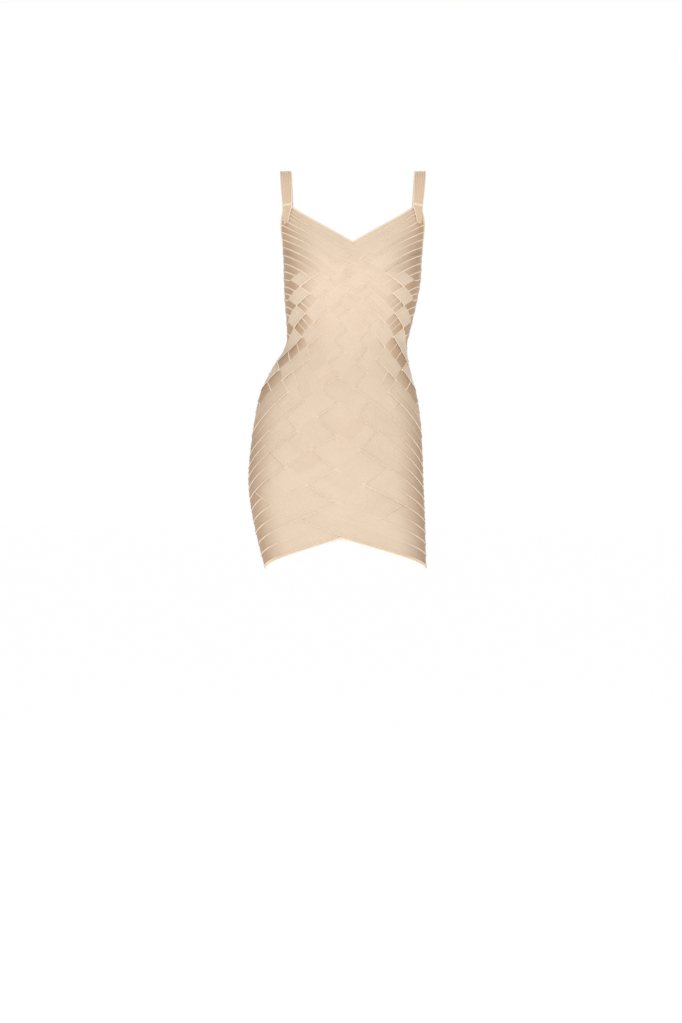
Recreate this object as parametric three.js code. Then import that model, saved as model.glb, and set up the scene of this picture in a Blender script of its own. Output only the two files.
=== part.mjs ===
// Bodycon dress in bandage knit: a hollow worn form with criss-cross bands on the front,
// a chevron back, two shoulder straps and narrow bound edges.
// Millimetres, +Z up, front facing -Y. The origin lies midway between the crowns of the straps.
import * as THREE from "three";

// Driving sizes of the cloth
const WALL = 1.4; // plain inner face below the body form
const BAND_LOW = 0.3; // a band's tucked edge above the form
const BAND_HIGH = 1.2; // a band's raised edge above the form
const EDGE_LIFT = 0.1; // a free edge, pressed down
const STEP_HALF = 0.035; // half the width of the step between bands, as a share of a band
const SEAM_SHARE = 0.0012; // side seam gap, as a share of the half front
const CENTRE_SHARE = 0.0009; // centre back seam gap, as a share of the half back

// Body form: each row is one level, with the reach to each side and to front and back.
// Squareness is the exponent of the section's outline: 2 is an ellipse.
const FORM = [
  { z: -55, left: -152, right: 150, front: 84, back: 76, square: 2.9 },
  { z: -100, left: -147, right: 145.5, front: 103, back: 86, square: 2.9 },
  { z: -150, left: -131, right: 129.5, front: 119, back: 90, square: 2.75 },
  { z: -204, left: -128.5, right: 126, front: 119, back: 88, square: 2.5 },
  { z: -242, left: -127, right: 119.5, front: 105, back: 81, square: 2.4 },
  { z: -289, left: -123.5, right: 109, front: 92, back: 73, square: 2.4 },
  { z: -326, left: -124.5, right: 100.5, front: 87, back: 71, square: 2.4 },
  { z: -364, left: -146, right: 104, front: 90, back: 79, square: 2.4 },
  { z: -392, left: -162, right: 111, front: 94, back: 92, square: 2.3 },
  { z: -422, left: -174.5, right: 119, front: 98, back: 105, square: 2.25 },
  { z: -475, left: -185, right: 126.5, front: 103, back: 119, square: 2.2 },
  { z: -535, left: -192.5, right: 129.5, front: 105, back: 121, square: 2.2 },
  { z: -585, left: -195, right: 131, front: 104, back: 115, square: 2.2 },
  { z: -640, left: -189, right: 133.5, front: 102, back: 105, square: 2.2 },
  { z: -709, left: -174, right: 135.5, front: 99, back: 95, square: 2.2 },
  { z: -760, left: -160, right: 137, front: 96, back: 90, square: 2.2 },
];
// The cups: two soft fullnesses that the bands bridge
const CUP = { turn: 0.3, turnSpread: 0.2, z: -168, zSpread: 46, lift: 9 };

// Front bands. A band falls from its near side, over the centre, to its far side.
// A slope is a share of the mean slope of that half. The ease keeps a band level at its near side.
const FRONT_BANDS = 26;
const FRONT_FAN = [
  { band: 0, near: 1, centre: -142, far: -230, nearSlope: 0.8, farSlope: 0.6, ease: 1 },
  { band: 6, near: -112, centre: -204, far: -334, nearSlope: 0.15, farSlope: 0.35, ease: 1.65 },
  { band: 12, near: -206, centre: -302, far: -457, nearSlope: 0, farSlope: 0.28, ease: 1.7 },
  { band: 18, near: -288, centre: -440, far: -581, nearSlope: 0, farSlope: 0.28, ease: 1.7 },
  { band: 22, near: -392, centre: -562, far: -663, nearSlope: 0.05, farSlope: 0.35, ease: 1.4 },
  { band: 26, near: -585, centre: -685, far: -745, nearSlope: 0.35, farSlope: 0.6, ease: 1 },
];
// Mesh lines beyond the first and last band, where only one family lies
const ABOVE = { lines: 18, step: 0.5 };
const BELOW = { lines: 13, step: 0.4 };
// The weave. Bands cross in pairs, woven in the middle and shingled at the sides. At the waist
// sides each pair passes over runs of the bands that it meets. Levels are in bands.
const WEAVE = { pair: 2, run: 3, middlePairs: 3, shingledUntil: 5, checksUntil: 18 };
// Where a pair rises as one: out to a turn, and on its far side as long as its number is low
const PAIRS = { from: 0.35, over: 0.3, farUntil: 13, farOver: 3 };

// Back bands: rows from the side seam to the centre back
const BACK_BANDS = 36;
const BACK_FAN = [
  { band: 0, side: -48, centre: -132 },
  { band: 12, side: -203, centre: -296 },
  { band: 24, side: -478, centre: -484 },
  { band: 36, side: -745, centre: -688 },
];
const BACK_COLUMNS = 9;
const BACK_STEP = 1.02 / BACK_COLUMNS;

// Armholes: from the strap's outer corner round to the top of the side seam
const ARMHOLE_BASE = -154;
const FRONT_ARM = { top: -71, share: 0.458, round: 0.385 };
const BACK_ARM = { top: -84, share: 0.455, round: 0.44 };

// Bound edges and straps
const GAP = 0.35;
const BINDING = { width: 3.2, low: -1.3, high: 1.3, corner: 0.5 };
const STRAP = { width: 22, thick: 2.1, groove: 0.7, bevel: 0.6, lift: BAND_HIGH + GAP + 0.25 };
const STRAP_CROWN = { x: 126, y: 0, z: -STRAP.thick };
const STRAP_LEAN = 0.8; // below 1 leans the strap inwards as it rises
const STRAP_FOOT = { front: -100, back: -116, step: 10, tip: 0.42 }; // tip: width share in front

const BEIGE = 0xe3ccae;
const EDGE_BEIGE = 0xeedcc2;

const clamp = (v, low, high) => Math.min(high, Math.max(low, v));
// Eases a share from 0 to 1
const ease = (v) => clamp(v, 0, 1) ** 2 * (3 - 2 * clamp(v, 0, 1));

// A smooth curve through one column of a table, held straight past its ends
function column(rows, at, key) {
  const n = rows.length;
  const slope = (i) => {
    const a = rows[Math.max(0, i - 1)];
    const b = rows[Math.min(n - 1, i + 1)];
    return (b[key] - a[key]) / (b[at] - a[at]);
  };
  const rising = rows[n - 1][at] > rows[0][at];
  return (v) => {
    const first = rows[0];
    const last = rows[n - 1];
    if (rising ? v <= first[at] : v >= first[at]) return first[key] + (v - first[at]) * slope(0);
    if (rising ? v >= last[at] : v <= last[at]) return last[key] + (v - last[at]) * slope(n - 1);
    let i = 0;
    while (rising ? v > rows[i + 1][at] : v < rows[i + 1][at]) i++;
    const span = rows[i + 1][at] - rows[i][at];
    const t = (v - rows[i][at]) / span;
    const [h00, h10] = [(1 + 2 * t) * (1 - t) ** 2, t * (1 - t) ** 2];
    const [h01, h11] = [t * t * (3 - 2 * t), t * t * (t - 1)];
    return (
      h00 * rows[i][key] +
      h10 * span * slope(i) +
      h01 * rows[i + 1][key] +
      h11 * span * slope(i + 1)
    );
  };
}

const form = Object.fromEntries(
  ["left", "right", "front", "back", "square"].map((key) => [key, column(FORM, "z", key)]),
);

// A place on the body form: turn runs from -1 at the left seam over the centre to 1 at the right
function place(side, turn, z) {
  const [left, right] = [form.left(z), form.right(z)];
  const depth = side === "front" ? form.front(z) : form.back(z);
  const square = form.square(z);
  const angle = (turn * Math.PI) / 2;
  const [s, c] = [Math.sin(angle), Math.cos(angle)];
  const r = (Math.abs(s) ** square + Math.abs(c) ** square) ** (-1 / square);
  let y = (side === "front" ? -1 : 1) * depth * r * c;
  if (side === "front") {
    const across = Math.exp(-(((Math.abs(turn) - CUP.turn) / CUP.turnSpread) ** 2));
    y -= CUP.lift * across * Math.exp(-(((z - CUP.z) / CUP.zSpread) ** 2));
  }
  return new THREE.Vector3((left + right) / 2 + ((right - left) / 2) * r * s, y, z);
}

function outward(side, turn, z) {
  const [dt, dz] = [0.004, 1];
  const across = place(side, turn + dt, z).sub(place(side, turn - dt, z));
  const up = place(side, turn, z + dz).sub(place(side, turn, z - dz));
  const n = across.cross(up).normalize();
  return side === "front" ? n : n.negate();
}

function lifted(side, turn, z, lift) {
  return place(side, turn, z).addScaledVector(outward(side, turn, z), lift);
}

// How far from the centre the cloth reaches at a level, as a share of the half front or back
function reach(side, z) {
  const arm = side === "front" ? FRONT_ARM : BACK_ARM;
  const up = clamp((z - ARMHOLE_BASE) / (arm.top - ARMHOLE_BASE), 0, 1.3);
  return 1 - SEAM_SHARE - arm.share * up ** arm.round;
}

// Front band lines: the height of line k of the family that falls from left to right
const fan = Object.fromEntries(
  ["near", "centre", "far", "nearSlope", "farSlope", "ease"].map((key) => [
    key,
    column(FRONT_FAN, "band", key),
  ]),
);
function bandHeight(k, turn) {
  const [near, centre, far] = [fan.near(k), fan.centre(k), fan.far(k)];
  const middle = (far - near) / 2;
  const [from, to] = turn < 0 ? [near, centre] : [centre, far];
  const start = turn < 0 ? fan.nearSlope(k) * (centre - near) : middle;
  const end = turn < 0 ? middle / fan.ease(k) : fan.farSlope(k) * (far - centre);
  const t = turn < 0 ? turn + 1 : turn;
  if (t < 0) return from + start * t;
  if (t > 1) return to + end * (t - 1);
  const w = turn < 0 ? t ** fan.ease(k) : t;
  return (
    (1 + 2 * w) * (1 - w) ** 2 * from +
    w * (1 - w) ** 2 * start +
    w * w * (3 - 2 * w) * to +
    w * w * (w - 1) * end
  );
}

// Where line a of one family crosses line b of its mirror family
function crossing(a, b) {
  let [low, high] = [-2.2, 2.2];
  for (let i = 0; i < 44; i++) {
    const mid = (low + high) / 2;
    if (bandHeight(a, mid) > bandHeight(b, -mid)) low = mid;
    else high = mid;
  }
  const turn = (low + high) / 2;
  return { turn, z: bandHeight(a, turn) };
}

// Which family lies on top in a crossing: the falling one where this is true
function fallingOnTop(i, j) {
  const [aIn, bIn] = [i >= 0 && i < FRONT_BANDS, j >= 0 && j < FRONT_BANDS];
  if (!aIn || !bIn) return aIn;
  const [pairI, pairJ] = [Math.floor(i / WEAVE.pair), Math.floor(j / WEAVE.pair)];
  const [across, down] = [pairI - pairJ, (i + j) / 2];
  if (Math.abs(across) < WEAVE.middlePairs) return (pairI + pairJ) % 2 === 0;
  const [own, crossed] = across > 0 ? [i, pairJ] : [j, pairI];
  const check = (Math.floor(own / WEAVE.run) + crossed) % 2 === 0;
  const ownOnTop = down < WEAVE.shingledUntil || (down < WEAVE.checksUntil && check);
  return across > 0 ? ownOnTop : !ownOnTop;
}

// The lift of a band at a share of its width, where its near side is at turn -1
function bandLift(band, share, turn) {
  const near = ease((-turn - PAIRS.from) / PAIRS.over);
  const beyond = ease((turn - PAIRS.from) / PAIRS.over);
  const far = beyond * ease((band - PAIRS.farUntil) / PAIRS.farOver);
  const together = (1 - near) * (1 - far);
  const paired = ((band % WEAVE.pair) + share) / WEAVE.pair;
  return ramp(share + (paired - share) * together);
}

// Lines of one family as places with the band they bound; a stepped line is a close pair
function bandLines(bands, stepped) {
  const lines = [];
  for (let k = 0; k <= bands; k++) {
    if (stepped) {
      lines.push({ at: k - STEP_HALF, band: k - 1, share: 1 });
      lines.push({ at: k + STEP_HALF, band: k, share: 0 });
    } else lines.push({ at: k, band: k, share: 0 });
  }
  if (!stepped) {
    lines[0].at = -STEP_HALF;
    lines[bands].at = bands + STEP_HALF;
  }
  return lines;
}

const plainLine = (at) => ({ at, band: Math.floor(at), share: 0 });
const LINES_ABOVE = Array.from({ length: ABOVE.lines }, (_, i) =>
  plainLine(-(ABOVE.lines - i) * ABOVE.step),
);
const LINES_BELOW = Array.from({ length: BELOW.lines }, (_, i) =>
  plainLine(FRONT_BANDS + (i + 1) * BELOW.step),
);

const ramp = (share) => BAND_LOW + (BAND_HIGH - BAND_LOW) * share;

// Cutting a polygon of the flat layout by a limit, where inside is positive.
// A cut point is worked out from the same end each time, so that neighbours share it.
function cutPolygon(polygon, inside, cuts) {
  const kept = [];
  polygon.forEach((p, i) => {
    const q = polygon[(i + 1) % polygon.length];
    const [fp, fq] = [inside(p), inside(q)];
    if (fp >= 0) kept.push(p);
    if (fp * fq >= 0 || fp === 0 || fq === 0) return;
    const [from, to] = p.id < q.id ? [p, q] : [q, p];
    const key = from.id + "|" + to.id;
    if (!cuts.has(key)) {
      let [low, high] = [0, 1];
      const at = (t) => ({
        turn: from.turn + (to.turn - from.turn) * t,
        z: from.z + (to.z - from.z) * t,
        lift: from.lift + (to.lift - from.lift) * t,
      });
      const sign = Math.sign(inside(from));
      for (let n = 0; n < 40; n++) {
        const mid = (low + high) / 2;
        if (Math.sign(inside(at(mid))) === sign) low = mid;
        else high = mid;
      }
      cuts.set(key, { ...at((low + high) / 2), id: "c" + cuts.size + "_" + from.id });
    }
    kept.push(cuts.get(key));
  });
  return kept;
}

// A skin: cells of the flat layout, cut by limits, as shared points and triangles
function skin(cells, limits, snaps) {
  const corners = new Map();
  cells.flat().forEach((p) => corners.set(p.id, p));
  corners.forEach((p) => snaps.forEach((snap) => snap(p)));
  let polygons = cells;
  limits.forEach((inside) => {
    const cuts = new Map();
    const safe = (p) => (Math.abs(inside(p)) < 1e-7 ? 0 : inside(p));
    polygons = polygons
      .filter((polygon) => polygon.some((p) => safe(p) > 0))
      .map((polygon) => cutPolygon(polygon, safe, cuts))
      .filter((polygon) => polygon.length > 2);
  });
  const points = [];
  const index = new Map();
  const triangles = [];
  const number = (p) => {
    if (!index.has(p.id)) {
      index.set(p.id, points.length);
      points.push(p);
    }
    return index.get(p.id);
  };
  polygons.forEach((polygon) => {
    const ids = polygon.map(number);
    for (let i = 1; i < ids.length - 1; i++) triangles.push([ids[0], ids[i], ids[i + 1]]);
  });
  return { points, triangles };
}

// The one closed loop of free edges of a skin, in the order of its triangles
function rimOf({ triangles }) {
  const next = new Map();
  const edges = new Set(triangles.flatMap(([a, b, c]) => [a + "," + b, b + "," + c, c + "," + a]));
  edges.forEach((edge) => {
    const [a, b] = edge.split(",").map(Number);
    if (!edges.has(b + "," + a)) next.set(a, b);
  });
  const start = next.keys().next().value;
  const loop = [start];
  for (let v = next.get(start); v !== start; v = next.get(v)) loop.push(v);
  if (loop.length !== next.size) throw new Error("a skin has more than one rim");
  return loop;
}

// A closed wall from an outer and an inner skin, joined along their rims
function wall(side, outer, inner) {
  const at = (p) => lifted(side, p.turn, p.z, p.lift);
  const [outerAt, innerAt] = [outer.points.map(at), inner.points.map(at)];
  const positions = [...outerAt, ...innerAt];
  const shift = outerAt.length;
  const faces = [
    ...outer.triangles,
    ...inner.triangles.map(([a, b, c]) => [c + shift, b + shift, a + shift]),
  ];
  const outerRim = rimOf(outer);
  let innerRim = rimOf(inner);
  const distance = (o, i) => outerAt[o].distanceTo(innerAt[i]);
  const startAt = innerRim.reduce((best, v, i) =>
    distance(outerRim[0], v) < distance(outerRim[0], innerRim[best]) ? i : best, 0);
  innerRim = [...innerRim.slice(startAt), ...innerRim.slice(0, startAt)];
  let [o, i] = [0, 0];
  while (o < outerRim.length || i < innerRim.length) {
    const [oNow, iNow] = [outerRim[o % outerRim.length], innerRim[i % innerRim.length]];
    const [oNext, iNext] = [
      outerRim[(o + 1) % outerRim.length],
      innerRim[(i + 1) % innerRim.length],
    ];
    const takeOuter =
      i >= innerRim.length || (o < outerRim.length && distance(oNext, iNow) <= distance(oNow, iNext));
    if (takeOuter) {
      faces.push([oNow, iNow + shift, oNext]);
      o++;
    } else {
      faces.push([oNow, iNow + shift, iNext + shift]);
      i++;
    }
  }
  return solid(positions, faces);
}

function solid(positions, faces) {
  const geometry = new THREE.BufferGeometry();
  geometry.setAttribute(
    "position",
    new THREE.Float32BufferAttribute(positions.flatMap((p) => [p.x, p.y, p.z]), 3),
  );
  geometry.setIndex(faces.flat());
  geometry.computeVertexNormals();
  return geometry;
}

function addMesh(group, name, geometry, colour = BEIGE) {
  const material = new THREE.MeshStandardMaterial({ color: colour, roughness: 0.75, metalness: 0 });
  const mesh = new THREE.Mesh(geometry, material);
  mesh.name = name;
  group.add(mesh);
}

// Corners that lie close to a limit are moved onto it, so that no sliver is cut
function snapToReach(side) {
  return (p) => {
    const edge = reach(side, p.z);
    if (Math.abs(Math.abs(p.turn) - edge) < 0.006) p.turn = Math.sign(p.turn) * edge;
  };
}
const snapToTop = (top) => (p) => {
  if (Math.abs(p.z - top) < 0.8) p.z = top;
};
const snapToCentre = (sign) => (p) => {
  if (Math.abs(p.turn * sign - CENTRE_SHARE) < 0.006) p.turn = sign * CENTRE_SHARE;
};

// Front: the lattice of both families, from the V of the neck to the point of the hem
function frontCells(stepped) {
  const lines = [...LINES_ABOVE, ...bandLines(FRONT_BANDS, stepped), ...LINES_BELOW];
  const [top, bottom] = [-STEP_HALF, FRONT_BANDS + STEP_HALF];
  const corner = lines.map((a, i) =>
    lines.map((b, j) => {
      const { turn, z } = crossing(a.at, b.at);
      const lift = stepped ? frontLift(a, b, turn) : -WALL;
      return { turn, z, lift, id: "f" + i + "_" + j };
    }),
  );
  const cells = [];
  for (let i = 0; i < lines.length - 1; i++) {
    for (let j = 0; j < lines.length - 1; j++) {
      const above = lines[i + 1].at <= top && lines[j + 1].at <= top;
      const below = lines[i].at >= bottom && lines[j].at >= bottom;
      if (above || below) continue;
      const cell = [corner[i][j], corner[i + 1][j], corner[i + 1][j + 1], corner[i][j + 1]];
      if (cell.every((p) => Math.abs(p.turn) > 1.15)) continue;
      cells.push(cell);
    }
  }
  return cells;
}

function frontLift(a, b, turn) {
  const [aIn, bIn] = [a, b].map((line) => line.band >= 0 && line.band < FRONT_BANDS);
  if (!aIn && !bIn) return EDGE_LIFT;
  return fallingOnTop(a.band, b.band)
    ? bandLift(a.band, a.share, turn)
    : bandLift(b.band, b.share, -turn);
}

function frontSkins() {
  const limits = [
    (p) => p.turn + reach("front", p.z),
    (p) => reach("front", p.z) - p.turn,
    (p) => FRONT_ARM.top - p.z,
  ];
  const snaps = [snapToTop(FRONT_ARM.top), snapToReach("front")];
  return [true, false].map((stepped) => skin(frontCells(stepped), limits, snaps));
}

// Back: rows of bands that run from the side seam to the centre seam
const backFan = Object.fromEntries(
  ["side", "centre"].map((key) => [key, column(BACK_FAN, "band", key)]),
);
function backHeight(k, turn) {
  const t = Math.abs(turn);
  return backFan.centre(k) + (backFan.side(k) - backFan.centre(k)) * (1.15 * t - 0.15 * t ** 3);
}

function backCells(sign, stepped) {
  const rows = bandLines(BACK_BANDS, stepped);
  const corner = rows.map((row, i) =>
    Array.from({ length: BACK_COLUMNS + 1 }, (_, j) => {
      const turn = sign * j * BACK_STEP;
      const inBand = row.band >= 0 && row.band < BACK_BANDS;
      const lift = stepped ? (inBand ? ramp(row.share) : EDGE_LIFT) : -WALL;
      return { turn, z: backHeight(row.at, turn), lift, id: "b" + i + "_" + j };
    }),
  );
  const cells = [];
  for (let i = 0; i < rows.length - 1; i++) {
    for (let j = 0; j < BACK_COLUMNS; j++) {
      const cell = [corner[i][j], corner[i + 1][j], corner[i + 1][j + 1], corner[i][j + 1]];
      cells.push(sign > 0 ? cell.reverse() : cell);
    }
  }
  return cells;
}

function backSkins(sign) {
  const limits = [
    (p) => reach("back", p.z) - sign * p.turn,
    (p) => sign * p.turn - CENTRE_SHARE,
    (p) => BACK_ARM.top - p.z,
  ];
  const snaps = [snapToTop(BACK_ARM.top), snapToReach("back"), snapToCentre(sign)];
  return [true, false].map((stepped) => skin(backCells(sign, stepped), limits, snaps));
}

// A strip of cloth swept along stations that each give a centre, a width and a height direction
function sweep(stations, profile) {
  const positions = stations.flatMap(({ at, wide, high }) =>
    profile.map(([w, h]) => at.clone().addScaledVector(wide, w).addScaledVector(high, h)),
  );
  const n = profile.length;
  const faces = [];
  for (let i = 0; i < stations.length - 1; i++) {
    for (let j = 0; j < n; j++) {
      const [a, b] = [i * n + j, i * n + ((j + 1) % n)];
      faces.push([a, b, b + n], [a, b + n, a + n]);
    }
  }
  const last = (stations.length - 1) * n;
  const caps = THREE.ShapeUtils.triangulateShape(
    profile.map(([w, h]) => new THREE.Vector2(w, h)),
    [],
  );
  caps.forEach(([a, b, c]) => faces.push([c, b, a], [a + last, b + last, c + last]));
  const run = stations[1].at.clone().sub(stations[0].at);
  const rightHanded = stations[0].wide.clone().cross(stations[0].high).dot(run) > 0;
  return solid(positions, rightHanded ? faces : faces.map(([a, b, c]) => [c, b, a]));
}

// The edge of a panel as stations: width points away from the cloth, height outwards
function edgeStations(samples, away) {
  const at = samples.map(({ side, turn, z }) => lifted(side, turn, z, 0));
  return samples.map(({ side, turn, z }, i) => {
    const before = at[Math.max(0, i - 1)];
    const after = at[Math.min(at.length - 1, i + 1)];
    const along = after.clone().sub(before).normalize();
    const high = outward(side, turn, z);
    const wide = along.clone().cross(high).normalize().multiplyScalar(away);
    return { at: at[i], wide, high };
  });
}

function binding(samples, away) {
  const { width, low, high, corner } = BINDING;
  const profile = [
    [GAP, low],
    [GAP + width - corner, low],
    [GAP + width, low + corner],
    [GAP + width, high - corner],
    [GAP + width - corner, high],
    [GAP, high],
  ];
  return sweep(edgeStations(samples, away), profile);
}

const steps = (from, to, n) => Array.from({ length: n + 1 }, (_, i) => from + ((to - from) * i) / n);

// The turn at which a band line meets a level
function turnAtLevel(height, level, from, to) {
  let [low, high] = [from, to];
  for (let i = 0; i < 40; i++) {
    const mid = (low + high) / 2;
    if (height(mid) > level === height(low) > level) low = mid;
    else high = mid;
  }
  return (low + high) / 2;
}

const neckHeight = (turn) => bandHeight(-STEP_HALF, -Math.abs(turn));
const hemHeight = (turn) => bandHeight(FRONT_BANDS + STEP_HALF, Math.abs(turn));
const MITRE = 0.011; // the gap where two bindings meet at a centre, as a share of the half front
const NECK_CORNER = -turnAtLevel(neckHeight, FRONT_ARM.top - 2, -1, 0);
const BACK_CORNER = turnAtLevel((t) => backHeight(-STEP_HALF, t), BACK_ARM.top - 2, 0, 1);

function along(side, turns, height) {
  return turns.map((turn) => ({ side, turn, z: height(turn) }));
}

// The turns of an edge's samples: at the panel's own mesh lines, between the centre and an end
function turnsBetween(turns, end) {
  const inner = turns.filter((turn) => turn > MITRE + 0.02 && turn < end - 0.02);
  return [MITRE, ...inner.sort((a, b) => a - b), end];
}
const neckTurns = () =>
  turnsBetween(
    LINES_ABOVE.map((line) => Math.abs(crossing(-STEP_HALF, line.at).turn)),
    NECK_CORNER,
  );
const hemTurns = () =>
  turnsBetween(
    LINES_BELOW.map((line) => Math.abs(crossing(line.at, FRONT_BANDS + STEP_HALF).turn)),
    1 - SEAM_SHARE,
  );
const backTurns = (end) =>
  turnsBetween(
    Array.from({ length: BACK_COLUMNS }, (_, j) => j * BACK_STEP),
    end,
  );

// The armhole's samples, at the panels' own corners: down the front and up the back
function armholeSamples(sign, front, back) {
  const half = (side, { points }, top) => {
    const onEdge = (p) => Math.abs(sign * p.turn - reach(side, p.z)) < 1e-6;
    const found = points.filter((p) => onEdge(p) && p.z > ARMHOLE_BASE + 0.5 && p.z < top - 1);
    found.sort((a, b) => a.z - b.z);
    const clear = found.filter((p, i) => i === 0 || p.z - found[i - 1].z > 1);
    return [...clear.map((p) => p.z), top - 1].map((z) => ({ side, turn: sign * reach(side, z), z }));
  };
  const base = { side: "front", turn: sign * reach("front", ARMHOLE_BASE), z: ARMHOLE_BASE };
  const down = half("front", front, FRONT_ARM.top).reverse();
  return [...down, base, ...half("back", back, BACK_ARM.top)];
}

// Strap: from its foot on the front panel over the shoulder to its foot on the back panel
function strapStations(sign) {
  const frontTurn = (sign * (NECK_CORNER + reach("front", FRONT_ARM.top))) / 2;
  const backTurn = (sign * (BACK_CORNER + reach("back", BACK_ARM.top))) / 2;
  const foot = (side, turn, z) => ({
    at: lifted(side, turn, z, STRAP.lift),
    wide: place(side, turn + 0.02, z).sub(place(side, turn - 0.02, z)).normalize(),
    share:
      side === "front"
        ? 1 - ((1 - STRAP_FOOT.tip) * (FRONT_ARM.top - z)) / (FRONT_ARM.top - STRAP_FOOT.front)
        : 1,
  });
  const x = sign * STRAP_CROWN.x;
  const crown = new THREE.Vector3(x, STRAP_CROWN.y, STRAP_CROWN.z);
  const across = new THREE.Vector3(1, 0, 0);
  const frontFoot = foot("front", frontTurn, FRONT_ARM.top);
  const backFoot = foot("back", backTurn, BACK_ARM.top);
  const between = (a, b, t) => {
    const angle = (t * Math.PI) / 2;
    const at = new THREE.Vector3(
      a.at.x + (b.at.x - a.at.x) * Math.sin(angle),
      a.at.y + (b.at.y - a.at.y) * (1 - Math.cos(angle)) ** STRAP_LEAN,
      a.at.z + (b.at.z - a.at.z) * Math.sin(angle),
    );
    return { at, wide: a.wide.clone().lerp(b.wide, t).normalize(), share: 1 };
  };
  const top = { at: crown, wide: across };
  const [up, down] = [steps(0, 1, 7), steps(0, 1, 7).reverse()];
  const stations = [
    ...[0, 1, 2].map((i) => foot("front", frontTurn, STRAP_FOOT.front + i * STRAP_FOOT.step)),
    ...up.map((t) => between(frontFoot, top, t)),
    ...down.slice(1).map((t) => between(backFoot, top, t)),
    ...[2, 1, 0].map((i) => foot("back", backTurn, STRAP_FOOT.back + i * STRAP_FOOT.step)),
  ];
  return stations.map(({ at, wide, share }, i) => {
    const before = stations[Math.max(0, i - 1)].at;
    const after = stations[Math.min(stations.length - 1, i + 1)].at;
    const run = after.clone().sub(before).normalize();
    const flat = wide.clone().addScaledVector(run, -wide.dot(run)).normalize();
    const high = flat.clone().cross(run).normalize();
    // A narrower end keeps its outer edge
    const outer = (sign * (1 - share) * STRAP.width) / 2;
    return {
      at: at.clone().addScaledVector(flat, outer),
      wide: flat.multiplyScalar(share),
      high,
    };
  });
}

function strap(sign) {
  const { width, thick, groove, bevel } = STRAP;
  const half = width / 2;
  const profile = [
    [-half, 0],
    [half, 0],
    [half, thick - bevel],
    [half - bevel, thick],
    [1.2, thick],
    [0, thick - groove],
    [-1.2, thick],
    [bevel - half, thick],
    [-half, thick - bevel],
  ];
  return sweep(strapStations(sign), profile);
}

const dress = new THREE.Group();
const [frontOuter, frontInner] = frontSkins();
addMesh(dress, "front_panel", wall("front", frontOuter, frontInner));
[
  { hand: "left", sign: -1 },
  { hand: "right", sign: 1 },
].forEach(({ hand, sign }) => {
  const name = (piece) => piece + "_" + hand;
  const signed = (turns) => turns.map((turn) => sign * turn);
  const neck = signed(neckTurns());
  const hem = signed(hemTurns());
  const backNeck = signed(backTurns(BACK_CORNER));
  const backHem = signed(backTurns(1 - SEAM_SHARE));
  const [backOuter, backInner] = backSkins(sign);
  const armhole = armholeSamples(sign, frontInner, backInner);
  addMesh(dress, name("back_panel"), wall("back", backOuter, backInner));
  addMesh(dress, name("neck_binding"), binding(along("front", neck, neckHeight), -sign), EDGE_BEIGE);
  addMesh(
    dress,
    name("back_neck_binding"),
    binding(along("back", backNeck, (t) => backHeight(-STEP_HALF, t)), sign),
    EDGE_BEIGE,
  );
  addMesh(dress, name("armhole_binding"), binding(armhole, -sign), EDGE_BEIGE);
  addMesh(dress, name("hem_binding_front"), binding(along("front", hem, hemHeight), sign), EDGE_BEIGE);
  addMesh(
    dress,
    name("hem_binding_back"),
    binding(along("back", backHem, (t) => backHeight(BACK_BANDS + STEP_HALF, t)), -sign),
    EDGE_BEIGE,
  );
  addMesh(dress, name("strap"), strap(sign));
});

export default dress;
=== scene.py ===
"""A bodycon dress in bandage knit, in its worn hollow form.

The front is woven from two mirrored families of knitted bands, the back from stacked rows
that meet in a chevron. Sizes are in millimetres until a mesh is made.
"""

import logging
import math
from dataclasses import dataclass, field
from enum import Enum
from typing import Callable

import bpy
import numpy as np
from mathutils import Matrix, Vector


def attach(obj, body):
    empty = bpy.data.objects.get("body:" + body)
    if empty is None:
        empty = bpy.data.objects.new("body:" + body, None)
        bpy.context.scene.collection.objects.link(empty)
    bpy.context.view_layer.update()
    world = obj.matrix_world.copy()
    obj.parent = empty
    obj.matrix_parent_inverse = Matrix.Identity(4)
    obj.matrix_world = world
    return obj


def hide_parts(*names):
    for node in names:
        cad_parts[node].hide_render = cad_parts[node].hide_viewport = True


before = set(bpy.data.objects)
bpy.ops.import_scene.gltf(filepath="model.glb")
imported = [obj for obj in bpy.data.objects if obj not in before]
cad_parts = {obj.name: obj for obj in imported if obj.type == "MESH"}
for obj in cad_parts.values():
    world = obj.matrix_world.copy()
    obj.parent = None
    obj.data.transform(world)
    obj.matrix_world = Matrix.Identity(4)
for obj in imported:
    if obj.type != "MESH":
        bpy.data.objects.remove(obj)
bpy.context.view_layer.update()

LOG = logging.getLogger("bodycon_dress")
MM = 0.001
ROOT = "root"
SHARP_ANGLE = math.radians(50)
TINY = 1e-12
Array = np.ndarray
Curve = Callable[[Array], Array]


class Side(Enum):
    """The two halves of the body form."""

    FRONT = -1
    BACK = 1


class Hand(Enum):
    """Left and right as a viewer of the front sees them."""

    LEFT = -1
    RIGHT = 1

    @property
    def word(self) -> str:
        """Gives the hand as the names of pieces say it."""
        return self.name.lower()


@dataclass(frozen=True)
class KnitFinish:
    """A knitted finish: its yarn colour, the deep colour of its painted shade, the lighter colour of its
    raised edges that also carries painted highlight, the size of its ribs and its sheen.
    """

    name: str
    face: tuple[float, float, float]
    deep: tuple[float, float, float]
    rim: tuple[float, float, float]
    rib_mm: float
    course_mm: float
    relief_mm: float
    roughness: float
    sheen: float


@dataclass(frozen=True)
class PlainFinish:
    """A plain matt finish of the studio."""

    name: str
    colour: tuple[float, float, float]
    roughness: float


@dataclass(frozen=True)
class Stitch:
    """A bead or stitch: half sizes along, across and outwards, its step, turn and unevenness."""

    size: tuple[float, float, float]
    spacing: float
    turn: float = 0.0
    uneven: float = 0.12


# In each finish, deep is the colour painted for shade; rim is the lighter colour of raised edges, which
# also carries painted highlight.
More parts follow.
